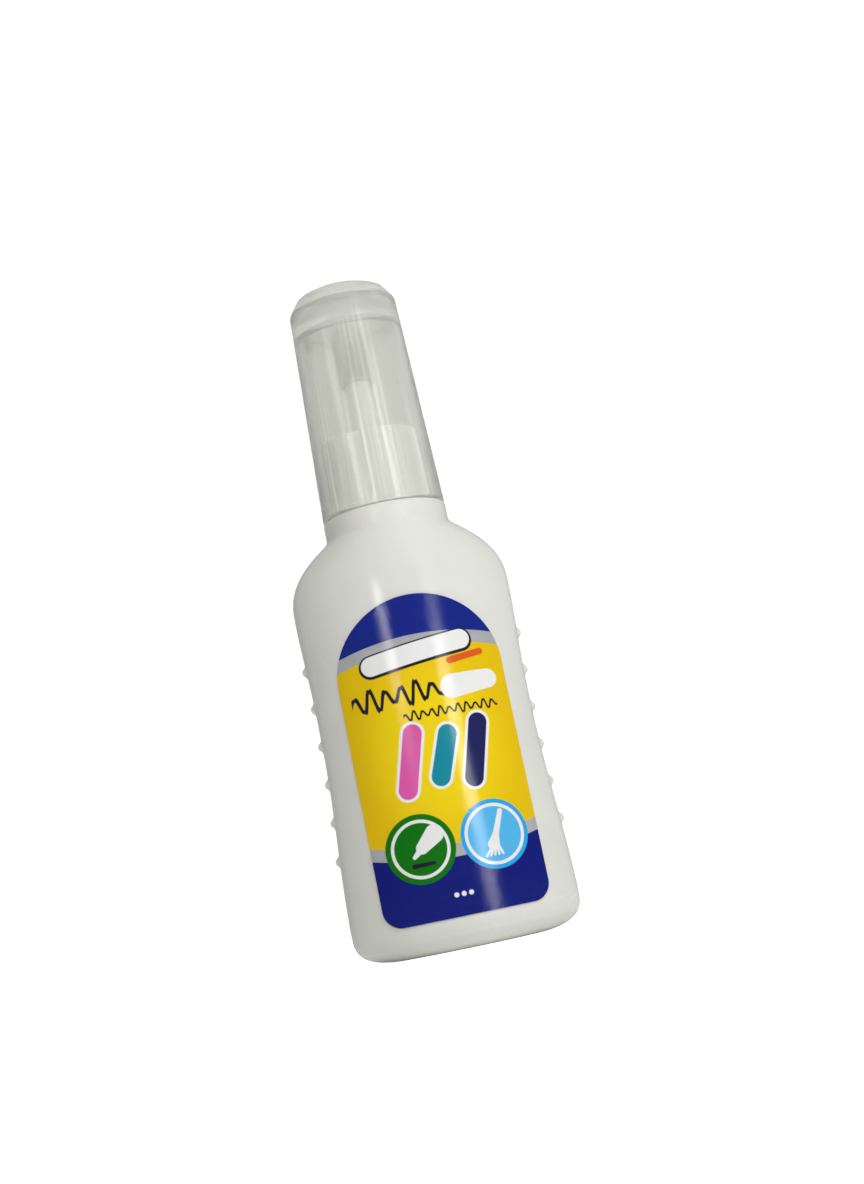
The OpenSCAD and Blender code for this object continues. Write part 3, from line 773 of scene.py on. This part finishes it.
def bodyRow(z, inset=0.0, level=None, outer=0.0, heel=0.0):  # heel draws in the narrow sides only
    share, ring = shoulderShare(z), body["ringRadius"]
    halfWidth = ring + (straightHalfWidth(z) - ring) * share - inset - heel
    halfDepth = ring + (body["halfDepth"] - ring) * share - inset
    drawn = ring + (body["sideRound"] - ring) * share - inset
    if drawn <= body["footSideRound"]:
        drawn = min(body["footSideRound"], body["sideRoundMost"] * halfDepth)
    return (halfWidth, halfDepth, min(drawn, roundShare * halfDepth), z if level is None else level, outer)


def frontPoint(x, z, out):  # point of the front arc, moved out along its own normal
    halfWidth, halfDepth, side = bodyRow(z)[:3]
    front = ((halfWidth - side) ** 2 / (halfDepth - side) + halfDepth + side) / 2
    angle = asin(x / front)
    return Vector(((front + out) * sin(angle), front - halfDepth - (front + out) * cos(angle), z)) * mm


def levels(low, high, step):
    count = max(1, round((high - low) / step))
    return [low + (high - low) * k / count for k in range(1, count + 1)]


def shrunk(row, shares, level, outer):  # rows that close a floor towards its middle
    return [tuple(part * k for part in row[:3]) + (level, outer) for k in shares]


def outsideRows():  # from the middle of the base, round the foot and up to the ring
    base, edge, rise = body["baseRound"], body["edgeRound"], body["footRise"]
    stand, heel, steps = base + body["footBand"], base * body["heelShare"], 12
    deepest = stand + 2 * rise
    rows = shrunk(bodyRow(base, deepest, rise, 1.0, heel), (0.0, 0.3, 0.65, 0.95), rise, 1.0)
    for k in range(steps + 1):  # down the pushed-up middle
        t = k / steps
        rows.append(bodyRow(base, deepest - t * (deepest - stand), rise * (1 - easedStep(t)), 1.0, heel))
    for a in map(radians, range(0, 91, 6)):
        rows.append(bodyRow(base, base * (1 - sin(a)), base * (1 - cos(a)), 1.0, heel * (1 - sin(a)) ** 2))
    nubLow = body["nubLowest"] - body["nubMargin"]
    nubHigh = body["nubLowest"] + (body["nubs"] - 1) * body["nubPitch"] + body["nubMargin"]
    sideLevels = (levels(base, nubLow, body["sideStep"]) + levels(nubLow, nubHigh, body["nubStep"])
                  + levels(nubHigh, body["ringTop"] - edge, body["shoulderStep"]))
    rows += [bodyRow(z, 0.0, None, 1.0) for z in sideLevels]
    for a in map(radians, range(15, 91, 15)):
        rows.append(bodyRow(body["ringTop"], edge * (1 - cos(a)), body["ringTop"] - edge * (1 - sin(a))))
    return rows


def insideRows():  # from the ring's flat top over the neck, down the bore and to the middle of the floor
    base, wall, ringTop = body["baseRound"], body["wall"], body["ringTop"]
    neck, bore, top, inner = body["neckRadius"], body["boreRadius"], body["neckTop"], ringTop - wall
    rows = [roundRow(r, z) for r, z in softened([
        (body["ringRadius"] - 1, ringTop, 0), (neck, ringTop, body["neckFillet"]), (neck, top, 0.2),
        (bore, top, 0.15), (bore, inner, 0.3), (bore + 1.4, inner - 0.3, 0)])]
    straight = levels(base + body["footRise"], inner - 1, body["insideStep"])
    rows += [bodyRow(z, wall) for z in reversed(straight)]
    innerRound, floorLevel = base - wall, body["footRise"] + wall
    heel = innerRound * body["heelShare"]
    for a in map(radians, range(90, -1, -10)):
        drawnIn, up = innerRound * (1 - sin(a)), innerRound * (1 - cos(a))
        rows.append(bodyRow(base, wall + drawnIn, floorLevel + up, 0.0, heel * (1 - sin(a)) ** 2))
    return rows + shrunk(rows[-1], (0.6, 0.25, 0.0), floorLevel, 0.0)


bottlePiece = growMesh(
    "bottleBody", profileMesh(outsideRows() + insideRows()), bottlePlastic,
    (sectionLoft, {"Sides": body["columns"], "Side Crowding": body["sideCrowding"]}),
    (gripNubs, {"Nubs": body["nubs"], "Pitch": body["nubPitch"] * mm, "Lowest": body["nubLowest"] * mm,
                "Radius": body["nubRadius"] * mm, "Height": body["nubHeight"] * mm,
                "Squareness": body["nubSquareness"]}))
finishPiece(bottlePiece, "bottle", "bottle_plastic", "bottle")

neckThread = {"radius": body["neckRadius"] + 0.05, "turns": 1.75, "foot": 57.6, "rise": 4.4, "wire": 0.5,
              "steps": 72, "sides": 14, "fade": 0.12}
finishPiece(coil("neckThread", neckThread, neckThread["foot"], neckThread["rise"], bottlePlastic),
            "bottle", "bottle_plastic")

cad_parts["correction_fluid"].data.materials.clear()
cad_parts["correction_fluid"].data.materials.append(fluidWhite)
finishPiece(dressed("mixing_ball", "mixingBall", ballSteel, 60), "bottle", "ball_steel", "mixing_ball")


# The label: a thin arched film that follows the front

label = {"width": 20.5, "low": 3.9, "sideTop": 34.0, "top": 43.5, "corner": 2.3, "gap": 0.03, "thick": 0.12,
         "columns": 90, "rows": 80, "sharpAngle": 50}


def labelLow(x):
    inCorner = abs(x) - (label["width"] / 2 - label["corner"])
    if inCorner <= 0:
        return label["low"]
    return label["low"] + label["corner"] - sqrt(max(0.0, label["corner"] ** 2 - inCorner ** 2))


def labelHigh(x):
    arch = sqrt(max(0.0, 1 - (2 * x / label["width"]) ** 2))
    return label["sideTop"] + (label["top"] - label["sideTop"]) * arch


def labelPiece():
    columns, rows = label["columns"], label["rows"]
    points = []
    for out in (label["gap"], label["gap"] + label["thick"]):
        for r in range(rows + 1):
            for c in range(columns + 1):
                x = label["width"] / 2 * sin(pi / 2 * (2 * c / columns - 1))
                z = labelLow(x) + (labelHigh(x) - labelLow(x)) * r / rows
                points.append(frontPoint(x, z, out))
    stack = (columns + 1) * (rows + 1)

    def at(r, c):
        return r * (columns + 1) + c

    cells = [(at(r, c), at(r + 1, c), at(r + 1, c + 1), at(r, c + 1))
             for r in range(rows) for c in range(columns)]
    rim = ([at(0, c) for c in range(columns)] + [at(r, columns) for r in range(rows)]
           + [at(rows, c) for c in range(columns, 0, -1)] + [at(r, 0) for r in range(rows, 0, -1)])
    edge = [(a, b, b + stack, a + stack) for a, b in zip(rim, rim[1:] + rim[:1])]
    front = [tuple(reversed([corner + stack for corner in cell])) for cell in cells]
    mesh = bpy.data.meshes.new("frontLabel")
    mesh.from_pydata(points, [], cells + edge + front)
    smoothUpTo(mesh, label["sharpAngle"])
    mesh.materials.append(labelMaterial())
    return newObject("frontLabel", mesh)


printed = {
    "blueTop": (18, 36, 134), "blueLow": (2, 18, 120),
    "silver": (186, 188, 190), "silverDark": (158, 160, 165),
    "yellow": (234, 195, 2), "yellowLight": (246, 216, 16), "green": (4, 116, 4), "sky": (40, 168, 238),
    "skyLight": (84, 184, 238), "white": (240, 240, 238), "ink": (24, 26, 40), "orange": (226, 92, 30),
    "pink": (224, 92, 170), "teal": (20, 140, 160), "navy": (30, 34, 92), "dust": (236, 236, 236),
    "bandSag": 1.4, "bandWidth": 1.55, "upperBand": 37.3, "lowerBand": 12.35, "upperCrown": 1.2, "edge": 0.07,
    # Strokes in the order of printing: start x and z, end x and z, start and end radius, colour.
    # In the maker's place, a bare white bar with a dark edge over a slim orange one
    "makerBars": ((3.6, 34.55, 7.6, 35.15, 0.42, 0.42, "orange"), (-6.0, 35.55, 5.4, 36.9, 1.5, 1.5, "ink"),
                  (-6.0, 35.65, 5.4, 37.0, 1.22, 1.22, "white")),
    # In the title's place, pen lines (left, right, level, swing, wave, thickness) that a stroke half corrects
    "penLines": ((-9.2, 2.4, 31.4, 0.95, 1.9, 0.46), (-3.4, 8.6, 28.6, 0.4, 1.1, 0.26)),
    "correction": ((3.3, 31.35, 7.9, 31.7, 1.5, 1.2, "white"),),
    # Leaning bars in the middle: centre x, half height, colour
    "bars": ((-3.6, 3.3, "pink"), (0.6, 2.5, "teal"), (4.6, 3.3, "navy")),
    "barLevel": 23.2, "barLean": 0.9, "barRadius": 1.15, "barBorder": 1.5,
    # Two roundels, one for each tool: centre x and z, radius, radius of the white ring, rim and field colour
    "roundels": ((-4.42, 12.66, 4.22, 3.56, "green", "green"), (4.74, 12.76, 4.22, 3.72, "sky", "skyLight")),
    "ring": 0.4,
    # Their icons, from the roundel's centre: a tip that draws a line, and a brush with five tufts
    "icons": (((1.9, 1.5, 0.2, 0.1, 1.15, 0.75, "white"), (0.1, 0.0, -0.9, -0.85, 0.42, 0.24, "white"),
               (-1.1, -1.9, 1.3, -1.9, 0.3, 0.2, "ink")),
              ((1.2, 2.6, 0.1, -0.1, 0.3, 0.38, "white"), (0.1, -0.1, -0.35, -1.2, 0.42, 0.75, "white"),
               *((-0.3 + 0.08 * k, -1.1, -1.5 + 0.52 * k, -2.5, 0.2, 0.13, "white") for k in range(5)))),
    # Dots at the foot
    "dots": 3, "firstDot": (-1.3, 6.5), "dotPitch": 0.9, "dotRadius": 0.3,
    # Levels over which the blue turns, and the pale glow in the yellow field
    "blueFrom": 4.0, "blueTo": 40.0, "glowLevel": 24.0, "glowHeight": 14.0,
    # The coat over the print
    "sheenScale": 600.0, "grainScale": 7000.0, "rippleScale": 1500.0, "reliefShare": 0.6, "relief": 0.018,
    "roughness": 0.045, "grainRoughness": 0.06, "scratchRoughness": 0.15, "dustShare": 0.003,
}


def labelMaterial():
    # Printed film: fields of colour, simple shapes, a clear grainy coat
    material, tree, shader = newMaterial("labelFilm", ior=1.5, specularIorLevel=0.26)
    x, _, z = [part / mm for part in components(tree, objectCoords(tree))]

    def over(level):  # 1 above a level that may be a field
        return ((z - level) / printed["edge"] + 0.5).clamped()

    def paint(under, mask, name):
        return blendColor(tree, mask, under, printed[name])

    def strokes(color, rows, middleX=0.0, middleZ=0.0):
        for startX, startZ, endX, endZ, startRadius, endRadius, name in rows:
            mask = useGroup(tree, strokeMask, x=x, z=z, startX=middleX + startX, startZ=middleZ + startZ,
                            endX=middleX + endX, endZ=middleZ + endZ, startRadius=startRadius,
                            endRadius=endRadius, softness=printed["edge"])
            color = paint(color, mask["Mask"], name)
        return color

    def disc(centerX, centerZ, radius, name):
        return (centerX, centerZ, centerX, centerZ, radius, radius, name)

    arch = (x / (label["width"] / 2)) ** 2
    rise = easeBetween(z, printed["blueFrom"], printed["blueTo"])
    color = blendColor(tree, rise, printed["blueLow"], printed["blueTop"])
    upperEdge = arch * -printed["upperCrown"] + (printed["upperBand"] + printed["upperCrown"])
    lowerEdge = arch * printed["bandSag"] + (printed["lowerBand"] - printed["bandSag"])
    foil = noise(tree, printed["sheenScale"], 2.0)
    sheen = blendColor(tree, foil, printed["silverDark"], printed["silver"])
    color = blendColor(tree, over(lowerEdge) * (1.0 - over(upperEdge)), color, sheen)
    inYellow = over(lowerEdge + printed["bandWidth"]) * (1.0 - over(upperEdge - printed["bandWidth"]))
    glow = easeBetween(arch + ((z - printed["glowLevel"]) / printed["glowHeight"]) ** 2, 1.0, 0.0)
    yellow = blendColor(tree, glow, printed["yellow"], printed["yellowLight"])
    color = strokes(blendColor(tree, inYellow, color, yellow), printed["makerBars"])
    for left, right, level, swing, wave, thickness in printed["penLines"]:
        line = useGroup(tree, squiggleMask, x=x, z=z, left=left, right=right, level=level, swing=swing,
                        wave=wave, thickness=thickness, softness=printed["edge"])
        color = paint(color, line["Mask"], "ink")
    color = strokes(color, printed["correction"])
    for centerX, tall, name in printed["bars"]:
        ends = (centerX - printed["barLean"], printed["barLevel"] - tall,
                centerX + printed["barLean"], printed["barLevel"] + tall)
        color = strokes(color, [(*ends, radius, radius, layer) for radius, layer in (
            (printed["barBorder"], "white"), (printed["barRadius"], name))])
    for (middleX, middleZ, radius, ring, rim, field), icon in zip(printed["roundels"], printed["icons"]):
        color = strokes(color, (disc(middleX, middleZ, radius, rim), disc(middleX, middleZ, ring, "white"),
                                disc(middleX, middleZ, ring - printed["ring"], field)))
        color = strokes(color, icon, middleX, middleZ)
    dotX, dotZ = printed["firstDot"]
    color = strokes(color, [disc(dotX + printed["dotPitch"] * k, dotZ, printed["dotRadius"], "white")
                            for k in range(printed["dots"])])

    grain = noise(tree, printed["grainScale"], 2.0, 0.6)
    ripple = noise(tree, printed["rippleScale"], 1.0, 0.4)
    marks = useGroup(tree, handlingMarks, lengthScale=50.0, fineness=wear["fineness"], amount=0.5)
    rough = (grain * printed["grainRoughness"] + printed["roughness"]
             + marks["Scratches"] * printed["scratchRoughness"])
    height = grain * printed["reliefShare"] + ripple * printed["reliefShare"]
    color = paint(color, grain * printed["dustShare"], "dust")
    return finished(material, shader, color, rough, height, printed["relief"])


finishPiece(labelPiece(), "bottle", "label_film", "front_label")
print("label ready")


# The nozzle: fluted skirt, sloped plate, nose, plug ring and brush socket in one moulding

washerLow, washerHigh = boxMm("seal_washer")
nozzleLow, nozzleHigh = boxMm("nozzle")
nozzle = {
    "skirtFoot": nozzleLow[2], "noseTop": nozzleHigh[2], "plateEdge": nozzleHigh[2] - 8.5, "plateRise": 0.7,
    "skirtInner": 5.85, "skirtOuter": 6.6, "bead": 0.3, "roof": washerHigh[2] + 0.03,
    "noseRoot": 1.75, "noseRadius": 1.7, "noseFillet": 0.6,
    "shankRoom": 1.16, "shankFoot": 68.43, "feedBore": 0.85, "stemTop": 65.04, "socketRadius": 1.76,
    "socketFoot": 61.31, "bossRadius": 2.45, "plugInner": 3.25, "plugOuter": 3.85, "plugDepth": 2.0,
    "flutes": 10, "fluteWidth": 1.7, "fluteDepth": 0.35, "fluteFirst": -109.0, "fluteFoot": 1.2,
    "sides": 440, "rowStep": 0.16,
}


def nozzleRows():
    n = nozzle
    foot, outer, bead = n["skirtFoot"], n["skirtOuter"], n["bead"]
    outside = softened([
        (n["skirtInner"], foot, 0), (outer, foot, 0.1), (outer, foot + bead * 0.9, 0.15),
        (outer + bead, foot + 2 * bead, 0.32), (outer, foot + bead * 3.1, 0.15),
        (outer, n["plateEdge"], 0.22), (n["noseRoot"], n["plateEdge"] + n["plateRise"], n["noseFillet"]),
        (n["noseRadius"], n["noseTop"], 0.2), (n["shankRoom"], n["noseTop"], 0)], 5, False, n["rowStep"])
    inside = softened([
        (n["shankRoom"], n["noseTop"], 0), (n["shankRoom"], n["shankFoot"], 0.03),
        (n["feedBore"], n["shankFoot"], 0.03), (n["feedBore"], n["stemTop"], 0.05),
        (n["socketRadius"], n["stemTop"], 0.05), (n["socketRadius"], n["socketFoot"], 0.12),
        (n["bossRadius"], n["socketFoot"], 0.15), (n["bossRadius"], n["roof"], 0.2),
        (n["plugInner"], n["roof"], 0.2), (n["plugInner"], n["roof"] - n["plugDepth"], 0.12),
        (n["plugOuter"], n["roof"] - n["plugDepth"], 0.15), (n["plugOuter"], n["roof"], 0.1),
        (n["skirtInner"], n["roof"], 0.15), (n["skirtInner"], foot, 0)], 3)
    rows = [roundRow(r, z, 1.0 if r > n["skirtInner"] else 0.0) for r, z in outside]
    return rows + [roundRow(r, z) for r, z in inside[1:]]


nozzlePiece = growMesh(
    "nozzleBody", profileMesh(nozzleRows()), nozzlePlastic, (sectionLoft, {"Sides": nozzle["sides"]}),
    (gripFlutes, {"Flutes": nozzle["flutes"], "Width": nozzle["fluteWidth"] * mm,
                  "Depth": nozzle["fluteDepth"] * mm, "First Angle": radians(nozzle["fluteFirst"]),
                  "Foot": (nozzle["skirtFoot"] + nozzle["fluteFoot"]) * mm,
                  "Skirt Radius": nozzle["skirtOuter"] * mm}))
finishPiece(nozzlePiece, "nozzle", "nozzle_plastic", "nozzle")

skirtThread = {"radius": nozzle["skirtInner"] + 0.05, "turns": 1.6, "foot": 57.4, "rise": 4.2, "wire": 0.3,
               "steps": 72, "sides": 12, "fade": 0.12}
finishPiece(coil("skirtThread", skirtThread, skirtThread["foot"], skirtThread["rise"], nozzlePlastic),
            "nozzle", "nozzle_plastic")

washer = {"inner": 3.95, "outer": 4.95, "ease": 0.08, "sides": 96}
washerCorners = [(washer[side], level, washer["ease"]) for side, level in (
    ("inner", washerLow[2]), ("outer", washerLow[2]), ("outer", washerHigh[2]), ("inner", washerHigh[2]))]
finishPiece(turned("sealWasher", washerCorners, washerFoam, washer["sides"], True),
            "seal", "washer_foam", "seal_washer")


# The sprung metal tip

tipLow, tipHigh = boxMm("tip_tube")
tip = {"shank": 1.15, "bore": 0.85, "flange": 1.45, "flangeFoot": nozzle["noseTop"] + 0.03, "flangeTop": 0.35,
       "fillet": 0.15, "barrelLeft": 2.1, "end": 0.75, "bevel": 0.2, "orifice": 0.41, "orificeDepth": 0.7,
       "seatSlope": 1.8, "sides": 96}


def tipCorners():
    top, seat = tipHigh[2], tipHigh[2] - tip["orificeDepth"]
    seatFoot = seat - (tip["bore"] - tip["orifice"]) * tip["seatSlope"]
    flangeTop = nozzle["noseTop"] + tip["flangeTop"]
    return [
        (tip["bore"], tipLow[2], 0.04), (tip["shank"], tipLow[2], 0.06),
        (tip["shank"], tip["flangeFoot"], 0.02), (tip["flange"], tip["flangeFoot"], 0.06),
        (tip["flange"], flangeTop, 0.06), (tip["shank"], flangeTop + tip["fillet"], 0.05),
        (tip["shank"], top - tip["barrelLeft"], 0.12), (tip["end"], top - tip["bevel"], 0.08),
        (tip["end"] - tip["bevel"], top, 0.08), (tip["orifice"], top, 0.05), (tip["orifice"], seat, 0.05),
        (tip["bore"], seatFoot, 0.05)]


finishPiece(turned("tipTube", tipCorners(), tipMetal, tip["sides"], True), "nozzle", "tip_metal", "tip_tube")

pinLow, pinHigh = boxMm("tip_pin")
pin = {"radius": 0.36, "collar": 0.7, "collarFoot": 77.388, "collarTop": 78.288, "sides": 64}


def pinCorners():
    radius, collar = pin["radius"], pin["collar"]
    cone = pin["collarTop"] + (collar - radius) * tip["seatSlope"]
    head = pinHigh[2] - radius
    return [(0.0, pinLow[2], 0), (radius, pinLow[2], 0.08), (radius, pin["collarFoot"], 0.03),
            (collar, pin["collarFoot"], 0.05), (collar, pin["collarTop"], 0.06), (radius, cone, 0.06),
            *((radius * cos(a), head + radius * sin(a), 0) for a in map(radians, range(0, 90, 9))),
            (0.0, pinHigh[2], 0)]


finishPiece(turned("tipPin", pinCorners(), pinSteel, pin["sides"]), "pin", "pin_steel", "tip_pin")

springLow, springHigh = boxMm("pin_spring")
spring = {"turns": 7.0, "wire": 0.09, "radius": 0.685, "travel": 0.5, "steps": 36, "sides": 12, "fade": 0.002}
springPiece = coil("pinSpring", spring, springLow[2] + spring["wire"],
                   springHigh[2] - springLow[2] - 2 * spring["wire"], springSteel)
finishPiece(springPiece, "nozzle", "spring_steel", "pin_spring")
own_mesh(springPiece)
finishPiece(dressed("spring_retainer", "springRetainer", retainerPlastic), "nozzle", "retainer_plastic",
            "spring_retainer")


# The brush

finishPiece(dressed("brush_stem", "brushStem", stemPlastic), "nozzle", "stem_plastic", "brush_stem")
finishPiece(dressed("tuft_anchor", "tuftAnchor", anchorWire), "nozzle", "anchor_wire", "tuft_anchor")
bristleLow, bristleHigh = boxMm("bristles")
tuft = {"count": 420, "rootRadius": 1.19, "rootDrop": 0.1, "filament": 0.042, "showing": 12.0, "bow": 0.45,
        "gather": 0.83, "stray": 0.12, "unevenness": 0.012, "seed": 4}
tuftPiece = growMesh("brushBristles", bpy.data.meshes.new("seed"), bristleNylon, (bristleTuft, {
    "Count": tuft["count"], "Root Radius": tuft["rootRadius"] * mm,
    "Root Level": (bristleHigh[2] - tuft["rootDrop"]) * mm,
    "Bend Level": (bristleLow[2] + tuft["showing"]) * mm, "Tip Level": bristleLow[2] * mm,
    "Filament Radius": tuft["filament"] * mm, "Bow": tuft["bow"], "Gather": tuft["gather"],
    "Stray": tuft["stray"] * mm, "Unevenness": tuft["unevenness"], "Seed": tuft["seed"]}))
finishPiece(tuftPiece, "nozzle", "bristle_nylon", "bristles")


# The cap: a clear shell with a thick domed crown and a tube that seals the nose

capLow, capHigh = boxMm("cap")
cap = {"wall": 0.9, "draft": 1.8, "crown": 4.0, "edgeWidth": 1.15, "edgeHeight": 1.7, "rimEase": 0.25,
       "edgeEase": 0.7, "hollow": 80.26, "hollowEdgeWidth": 1.0, "hollowEdgeHeight": 1.1, "hollowDome": 0.7,
       "tubeInner": 1.78, "tubeOuter": 2.33, "tubeFoot": 73.76, "tubeRoot": 0.25, "boreTop": 81.46,
       "footBevel": 0.2, "sides": 160}


def crownPoints(radius, level, edgeWidth, edgeHeight, rise, count=20):  # leaning edge, then a shallow dome
    edge = radius - edgeWidth
    ball = (edge ** 2 + rise ** 2) / (2 * rise)
    turns = [asin(edge / ball) * (1 - k / count) for k in range(count + 1)]
    top = level + edgeHeight + rise
    dome = [(ball * sin(a), top - ball * (1 - cos(a)), 0.0) for a in turns]
    return [(radius, level, cap["rimEase"]), dome[0][:2] + (cap["edgeEase"],)] + dome[1:]


def capCorners():
    foot, rim = capLow[2], capHigh[0]
    slope = tan(radians(cap["draft"]))

    def wallRadius(z):
        return rim - slope * (z - foot)

    crown = cap["hollow"] + cap["crown"]
    hollow = crownPoints(wallRadius(cap["hollow"]) - cap["wall"], cap["hollow"], cap["hollowEdgeWidth"],
                         cap["hollowEdgeHeight"], cap["hollowDome"])
    meeting = [point for point in hollow if point[0] > cap["tubeOuter"] + cap["tubeRoot"]]
    outside = crownPoints(wallRadius(crown), crown, cap["edgeWidth"], cap["edgeHeight"],
                          capHigh[2] - crown - cap["edgeHeight"])
    return [(0.0, cap["boreTop"], 0), (cap["tubeInner"], cap["boreTop"], 0.2),
            (cap["tubeInner"], cap["tubeFoot"], 0.12), (cap["tubeOuter"], cap["tubeFoot"], 0.15),
            (cap["tubeOuter"], meeting[-1][1], 0.2), *reversed(meeting), (rim - cap["wall"], foot, 0.12),
            (rim - cap["footBevel"], foot, 0.1), (rim, foot + cap["footBevel"], 0.1), *outside]


capRows = [roundRow(max(0.0, r), z) for r, z in softened(capCorners())]
capPiece = growMesh("clearCap", profileMesh(capRows), capPlastic, (sectionLoft, {"Sides": cap["sides"]}))
finishPiece(capPiece, "cap", "cap_plastic", "cap")
print("pieces ready")


# Floor, light and camera

studio = {
    "floorSize": 6.0, "aim": (0.0, 0.0, 0.045),
    # Brightness of the surroundings for each kind of ray
    "seenDirectly": 1.05, "seenThroughPlastic": 0.64, "mirrored": 0.28, "ambient": 0.19,
    # Added to the mirrored brightness behind the bottle, where the pale backdrop is
    "backdropGlow": 0.12,
    # Glow of the floor for the same kinds of ray
    "floorSeen": 0.85, "floorThroughPlastic": 0.35, "floorGlow": 0.08,
    # Lamps in metres: azimuth from -Y towards +X, elevation, distance, width, height, power
    "soft": {"key": (22, 32, 0.6, 0.5, 0.5, 2.75), "fill": (195, 30, 0.6, 0.5, 0.5, 1.4)},
    # Lamps that make streaks only
    "gloss": {"rightStrip": (25.2, 1.7, 0.6, 0.085, 0.125, 0.47),
              "upperStrip": (28, 20, 0.6, 0.08, 0.2, 0.15),
              "leftStrip": (-20.5, 9.6, 0.6, 0.02, 0.046, 0.27)},
}


def rayShare(tree, otherwise, kinds):  # a studio value chosen by the kind of ray; the last kind wins
    path = tree.nodes.new("ShaderNodeLightPath")
    share = studio[otherwise]
    for kind, name in kinds:
        share = Field(tree, path.outputs[kind]) * (studio[name] - share) + share
    return share


def floorMaterial():
    # Pale paper; the camera sees it as bright as the backdrop
    material, tree, shader = newMaterial("paleFloor", roughness=0.9, emissionColor=(1.0, 1.0, 1.0, 1.0))
    paper = noise(tree, 40.0, 3.0)
    feed(tree, shader.inputs["Base Color"], blendColor(tree, paper, (243, 243, 243), (250, 250, 250)))
    feed(tree, shader.inputs["Emission Strength"], rayShare(tree, "floorGlow", (
        ("Is Transmission Ray", "floorThroughPlastic"), ("Is Camera Ray", "floorSeen"))))
    return material


def makeFloor():
    half = studio["floorSize"] / 2
    corners = [(-half, -half, 0), (half, -half, 0), (half, half, 0), (-half, half, 0)]
    mesh = bpy.data.meshes.new("floor")
    mesh.from_pydata(corners, [], [(0, 1, 2, 3)])
    mesh.materials.append(floorMaterial())
    newObject("floor", mesh)


def makeWorld():
    world = bpy.data.worlds.new("studio")
    world.use_nodes = True
    bpy.context.scene.world = world
    tree = world.node_tree
    back = tree.nodes["Background"]
    glow = easeBetween(components(tree, objectCoords(tree))[1], -0.3, 0.7) * studio["backdropGlow"]
    glossy = Field(tree, tree.nodes.new("ShaderNodeLightPath").outputs["Is Glossy Ray"])
    feed(tree, back.inputs["Strength"], glow * glossy + rayShare(tree, "ambient", (
        ("Is Glossy Ray", "mirrored"), ("Is Transmission Ray", "seenThroughPlastic"),
        ("Is Camera Ray", "seenDirectly"))))
    back.inputs["Color"].default_value = (1.0, 1.0, 1.0, 1.0)


def makeLamp(name, gloss, azimuth, elevation, distance, width, height, power):
    light = bpy.data.lights.new(name, "AREA")
    light.shape = "RECTANGLE"
    light.size, light.size_y, light.energy = width, height, power
    lamp = newObject(name, light)
    a, e = radians(azimuth), radians(elevation)
    aim = Vector(studio["aim"])
    lamp.location = aim + Vector((sin(a) * cos(e), -cos(a) * cos(e), sin(e))) * distance
    lamp.rotation_euler = (lamp.location - aim).to_track_quat("Z", "Y").to_euler()
    lamp.visible_glossy, lamp.visible_diffuse = gloss, not gloss
    lamp.visible_camera = lamp.visible_transmission = False


camera = {"lens": 53.67, "place": (-17.82, -222.71, 5.37), "right": (0.97795, -0.06065, -0.19988),
          "up": (0.18537, -0.18906, 0.96431), "forward": (0.09627, 0.98009, 0.17365)}


def makeCamera():
    lens = bpy.data.cameras.new("photoCamera")
    lens.lens, lens.sensor_width, lens.sensor_fit = camera["lens"], 36.0, "AUTO"
    lens.clip_start, lens.clip_end = 0.005, 20.0
    seen = newObject("photoCamera", lens)
    right, up, back = Vector(camera["right"]), Vector(camera["up"]), -Vector(camera["forward"])
    turn = Matrix((right, up, back)).transposed().to_4x4()
    seen.matrix_world = Matrix.Translation(Vector(camera["place"]) * mm) @ turn
    bpy.context.scene.camera = seen


makeFloor()
makeWorld()
for kind in ("soft", "gloss"):
    for lampName, place in studio[kind].items():
        makeLamp(lampName, kind == "gloss", *place)
makeCamera()
bpy.context.scene.view_settings.view_transform = "Standard"
print("studio ready")
